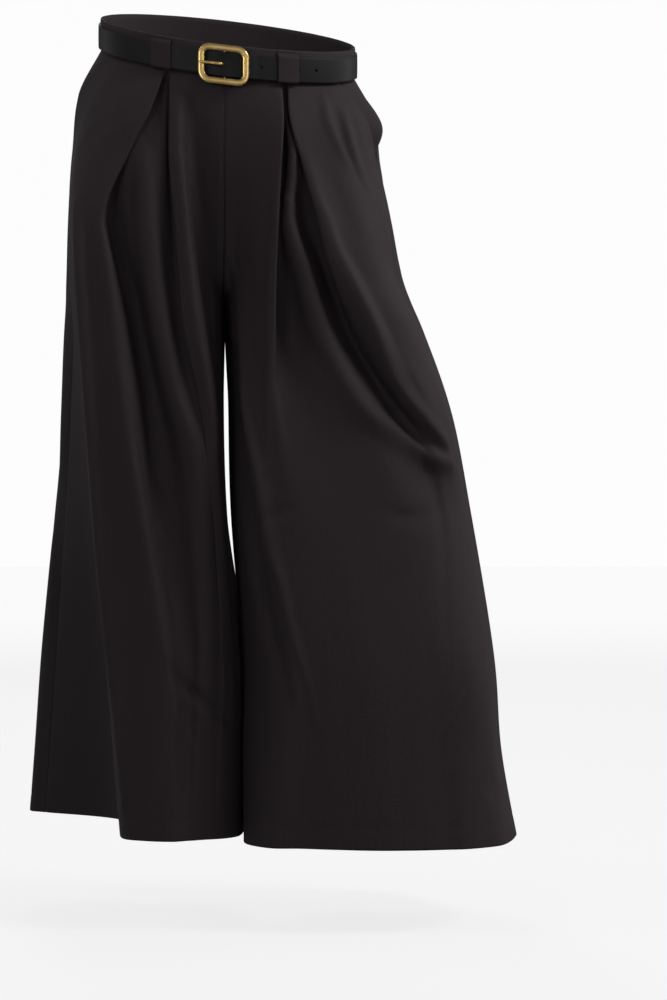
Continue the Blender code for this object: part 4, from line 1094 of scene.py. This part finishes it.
def makeStrap():
    # A grid of places along the path and heights across it. Grid lines crowd round each hole, where
    # squares of them are drawn into circles.
    path = smoothLine(beltPath(), 6)
    run = lengthsOf(path, 0)
    total, top, half = run[-1], strap["height"] / 2, strap["holeWidth"] / 2
    free = run > total - strap["freeEnd"]
    holeXs = buckle["barX"] + np.arange(1, strap["holes"] + 1) * strap["holePitch"]
    slotX = buckle["barX"] - strap["slotShift"]
    centres = np.interp([*holeXs, slotX], path[free, 0], run[free])
    wides = [1.0] * strap["holes"] + [strap["slotStretch"]]
    lines = np.array(strap["holeLines"]) * half
    reach = strap["holeLines"][-1]
    places = np.arange(0, total - strap["tipRound"], strap["cell"])
    clear = np.abs(places[:, None] - centres).min(axis=1) > reach * half + 0.8 * mm
    rounded = np.sin(np.linspace(0, math.radians(84), 15)) * strap["tipRound"]
    steps = np.concatenate([-lines, [0], lines])
    places = np.sort(np.concatenate([places[clear], (centres[:, None] + steps).ravel(),
                                     total - strap["tipRound"] + rounded]))
    outer = np.append(np.array(strap["outerLines"]) * half, top)
    rows = np.sort(np.concatenate([steps, outer, -outer]))
    s, h = np.meshgrid(places, rows, indexing="ij")
    # the tip is half an ellipse
    narrow = np.sqrt(1 - np.clip((s - total) / strap["tipRound"] + 1, 0, 0.9999) ** 2)
    flatS, flatH = s, h
    for centre, wide in zip(centres, wides):
        dx, dz = (s - centre) / half, h / half
        square = np.maximum(np.abs(dx), np.abs(dz))
        weight = np.clip((reach - square) / 2.2, 0, 1)  # 1 at the hole, fading out two cells further
        grow = square / np.maximum(np.hypot(dx, dz), 1e-9) * weight + (1 - weight)
        near = square < reach
        s = np.where(near, centre + dx * grow * half * (1 + (wide - 1) * weight), s)
        h = np.where(near, dz * grow * half, h)
    h = h * narrow
    plan, after, before = (np.stack([np.interp(s + step, run, path[:, k]) for k in range(2)], axis=-1)
                           for step in (0, 0.5 * mm, -0.5 * mm))
    ahead = unit(after - before)
    normals = np.stack([ahead[..., 1], -ahead[..., 0]], axis=-1)
    crown = strap["crown"] * (1 - (h / top) ** 2)
    plan = plan + normals * (strap["thick"] / 2 + crown - strap["crown"])[..., None]
    # cells inside a hole are left out, and the leather is worn at its edges
    cellS, cellH = ((grid[1:, 1:] + grid[:-1, :-1]) / 2 for grid in (flatS, flatH))
    keep = np.ones(cellS.shape, bool)
    edge = np.clip((np.abs(flatH) / top - 0.9) * 10, 0, 1)
    edge = np.maximum(edge, np.clip((flatS - total) / strap["wornEdge"] + 1, 0, 1))
    for centre in centres:
        keep &= np.maximum(np.abs(cellS - centre), np.abs(cellH)) >= half
        square = np.maximum(np.abs(flatS - centre), np.abs(flatH)) / half
        edge = np.maximum(edge, np.clip(1.3 - square, 0, 0.3) * 2)
    piece = meshPiece("belt_strap_leather", lifted(plan, h - strap["drop"]),
                      gridFaces(*s.shape, keep=keep), leatherLook, marks={"edge": edge})
    solidify(piece, strap["thick"], strap["bevel"])
    finishPiece(piece, ["belt_strap"])
    print("belt length", round(float(total), 3))


def sweepRod(path, radii, fixed, sides, flat=(1.0, 1.0), closed=False):
    # A rod along a path: at each point an ellipse in the plane of `fixed` and its cross product with
    # the path
    along = np.roll(path, -1, 0) - np.roll(path, 1, 0) if closed else np.gradient(path, axis=0)
    along = unit(along)
    aside = unit(np.cross(along, fixed))
    other = np.cross(aside, along)
    turn = np.linspace(0, 2 * math.pi, sides, endpoint=False)
    cosine, sine = (np.sign(wave) * np.abs(wave) ** buckle["square"]
                    for wave in (np.cos(turn)[:, None], np.sin(turn)[:, None]))
    ring = path[:, None] + radii[:, None, None] * (
        flat[0] * aside[:, None] * cosine + flat[1] * other[:, None] * sine)
    faces = gridFaces(len(path), sides, closedAcross=True, closedDown=closed)
    if closed:
        return ring.reshape(-1, 3), faces
    # each end closes as a small dome: two rings that shrink, then a fan of quads
    points, extra = [ring.reshape(-1, 3)], [faces]
    index = np.arange(sides)
    for end, step in ((0, -1), (-1, 1)):
        middle = ring[end].mean(axis=0)
        outline = (len(path) - 1) * sides * (end == -1)
        for grow, push in ((0.75, 0.35), (0.35, 0.55)):
            first = sum(map(len, points))
            points.append(middle + (ring[end] - middle) * grow + along[end] * step * radii[end] * push)
            a, b = outline + index, first + index
            extra.append(np.stack([a, b, np.roll(b, -1), np.roll(a, -1)], axis=-1)[:, ::step])
            outline = first
        fan = [np.full(sides // 2 - 1, first), first + index[1:-2:2], first + index[2:-1:2],
               first + index[3::2]]
        extra.append(np.stack(fan, axis=-1)[:, ::step])
    return np.concatenate(points), np.concatenate(extra)


def frontOf(x, out):
    plan = waistPoint(np.array(angleAt(x)), np.array(out))
    return lifted(plan, np.array(-strap["drop"]))


def outlineRect(halfWide, halfHigh, corner, perCorner, perSide):
    # A rounded rectangle, counter-clockwise: quarter circles joined by straight stretches
    a = np.linspace(0, math.pi / 2, perCorner)
    quarters = [np.stack([cx * (halfWide - corner) + corner * np.cos(a + k * math.pi / 2),
                          cz * (halfHigh - corner) + corner * np.sin(a + k * math.pi / 2)], axis=1)
                for k, (cx, cz) in enumerate(((1, 1), (-1, 1), (-1, -1), (1, -1)))]
    t = np.linspace(0, 1, perSide + 2)[1:-1, None]
    out = []
    for quarter, following in zip(quarters, quarters[1:] + quarters[:1]):
        out += [quarter, quarter[-1] + (following[0] - quarter[-1]) * t]
    return np.concatenate(out)


def makeBuckle(size):
    # The frame: a flattened bar swept round a rounded rectangle that bends with the waist
    middle = frontOf(size["x"], overBar + strap["thick"] / 2 + size["gap"] + size["thick"] / 2)
    halfWide, halfHigh = (size["width"] - size["bar"]) / 2, (size["height"] - size["bar"]) / 2
    across, up = outlineRect(halfWide, halfHigh, size["corner"], *size["outline"]).T
    path = middle + np.stack([across, across**2 / (2 * size["curve"]),
                              up + waist["tiltSide"] * across], axis=1)
    points, faces = sweepRod(path, np.full(len(path), size["bar"] / 2), (0.0, 1.0, 0.0),
                             size["barSides"], (1.0, size["thick"] / size["bar"]), closed=True)
    # the bar behind it: a rod bent back at both ends, as y and height
    bar = frontOf(size["barX"], barOut)
    rod = [(middle[1], halfHigh), (bar[1] - 3 * mm, halfHigh - 0.2 * mm),
           (bar[1] - 0.8 * mm, halfHigh - 0.9 * mm), (bar[1], halfHigh - 2.8 * mm), (bar[1], 0)]
    rod += [(y, -z) for y, z in rod[-2::-1]]
    rod = smoothLine(np.array([(bar[0], y, middle[2] + z) for y, z in rod]), 6)
    rodPoints, rodFaces = sweepRod(rod, np.full(len(rod), size["rodRadius"]), (1.0, 0.0, 0.0),
                                   size["rodSides"])
    piece = meshPiece("buckle_frame_gold", np.concatenate([points, rodPoints]),
                      np.concatenate([faces, rodFaces + len(points)]), goldLook)
    finishPiece(piece, ["buckle_frame"])
    # the prong: through the slot, forward and to the frame's far side, as x, y and half width
    front = middle[1] - size["thick"] / 2
    left = middle[0] - halfWide
    leftFront = front + halfWide**2 / (2 * size["curve"])
    rodFront = bar[1] - size["rodRadius"]
    prong = np.array((
        (bar[0] - 0.6 * mm, rodFront - 1.6 * mm, 1.5 * mm),
        (bar[0] - 1.6 * mm, rodFront - 5.5 * mm, 1.6 * mm),
        (bar[0] - 4.5 * mm, front - 1.2 * mm, 1.7 * mm),
        (bar[0] - 9 * mm, front - 2.2 * mm, 1.8 * mm),
        (bar[0] - 16 * mm, leftFront - 2.6 * mm, 1.7 * mm),
        (left + 4 * mm, leftFront - 1.95 * mm, 1.55 * mm),
        (left - 2.5 * mm, leftFront - 1.5 * mm, 1.1 * mm)))
    height = middle[2] - waist["tiltSide"] * (middle[0] - prong[:, 0])
    path = smoothLine(np.insert(prong, 2, height, axis=1), 7)
    points, faces = sweepRod(path[:, :3], path[:, 3], (0.0, 1.0, 0.0), size["rodSides"], (1.15, 0.85))
    piece = meshPiece("buckle_prong_gold", points, faces, goldLook)
    finishPiece(piece, ["buckle_prong"])


makeStrap()
makeBuckle(buckle)
print("belt and buckle made")

# Floor and light

# The floor lies below the hem, because the garment hangs. The sky is a ball that only the camera sees.
stage = {
    "level": -1.13, "reach": 18.0, "near": 0.80, "far": 0.92, "fade": (2.0, 9.0), "bounce": 0.15,
    "skyRadius": 30.0, "sky": 0.98, "skyCells": (24, 48), "pole": 0.01,
}


def makeFloor(size):
    # A flat square whose glow grows from the near to the far value with the distance from its middle
    material, tree, shader = startMaterial("pale_floor")
    distance = addNode(tree, "ShaderNodeVectorMath", {"operation": "LENGTH"}, {0: objectPlace(tree)}, 1)
    near, far = ((size[key],) * 3 + (1,) for key in ("near", "far"))
    paint(shader, {"Emission Color": mixColour(tree, distance.ramp(*size["fade"]), near, far)},
          {"Base Color": (size["bounce"],) * 3 + (1,), "Roughness": 0.8, "Specular IOR Level": 0.1,
           "Emission Strength": 1.0})
    side = np.array([-1, 1]) * size["reach"]
    points = np.stack(np.broadcast_arrays(side[None, :], side[:, None], size["level"]), axis=-1)
    floor = meshPiece("floor", points, gridFaces(2, 2), material)
    floor.visible_diffuse = floor.visible_glossy = False  # it's lit, and throws no light at the cloth


def makeSky(size):
    # A ball: radius * (sin(down) cos(turn), sin(down) sin(turn), cos(down))
    material, _, shader = startMaterial("pale_sky")
    paint(shader, {}, {"Base Color": (0, 0, 0, 1), "Specular IOR Level": 0.0, "Roughness": 1.0,
                       "Emission Color": (1, 1, 1, 1), "Emission Strength": size["sky"]})
    rows, cols = size["skyCells"]
    down = np.linspace(size["pole"], math.pi - size["pole"], rows)[:, None]
    turn = np.linspace(0, 2 * math.pi, cols, endpoint=False)
    ball = np.stack(np.broadcast_arrays(np.sin(down) * np.cos(turn), np.sin(down) * np.sin(turn),
                                        np.cos(down)), axis=-1)
    sky = meshPiece("sky", ball * size["skyRadius"], gridFaces(rows, cols, closedAcross=True), material)
    sky.visible_diffuse = sky.visible_glossy = sky.visible_shadow = False


makeFloor(stage)
makeSky(stage)

# Soft boxes round the middle of the garment: name, angle from the front, angle up, watts and colour
lights = {
    "aim": (0.05, 0.0, -0.45), "distance": 3.9, "size": 1.3, "world": 0.155,
    "boxes": (
        ("key", 72, 42, 68.0, (1.0, 0.99, 0.985)),
        ("right front", 25, 10, 11.0, (1.0, 0.99, 0.985)),
        ("front", 0, 15, 2.0, (1.0, 1.0, 1.0)),
        ("right rear", 110, 20, 20.0, (1.0, 1.0, 1.0)),
        ("left front", -32, 10, 19.0, (0.98, 0.99, 1.0)),
        ("left high", -75, 45, 14.0, (0.98, 0.99, 1.0)),
        ("left rear", -112, 15, 8.0, (1.0, 1.0, 1.0)),
        ("rear", 190, 30, 34.0, (1.0, 1.0, 1.0)),
    ),
}


def makeLights(size):
    for name, turn, rise, watts, colour in size["boxes"]:
        lamp = bpy.data.lights.new(name, "AREA")
        lamp.shape, lamp.size, lamp.energy, lamp.color = "DISK", size["size"], watts, colour
        thing = bpy.data.objects.new(name, lamp)
        turn, rise = math.radians(turn), math.radians(rise)
        thing.rotation_euler = (math.pi / 2 - rise, 0, turn)
        towards = (math.cos(rise) * math.sin(turn), -math.cos(rise) * math.cos(turn), math.sin(rise))
        thing.location = np.array(size["aim"]) + size["distance"] * np.array(towards)
        bpy.context.scene.collection.objects.link(thing)
    world = bpy.data.worlds.new("studio")
    world.use_nodes = True
    background = world.node_tree.nodes["Background"]
    background.inputs["Color"].default_value = (1, 1, 1, 1)
    background.inputs["Strength"].default_value = size["world"]
    bpy.context.scene.world = world
    bpy.context.scene.view_settings.view_transform = "Standard"


makeLights(lights)
print("stage and lights made")
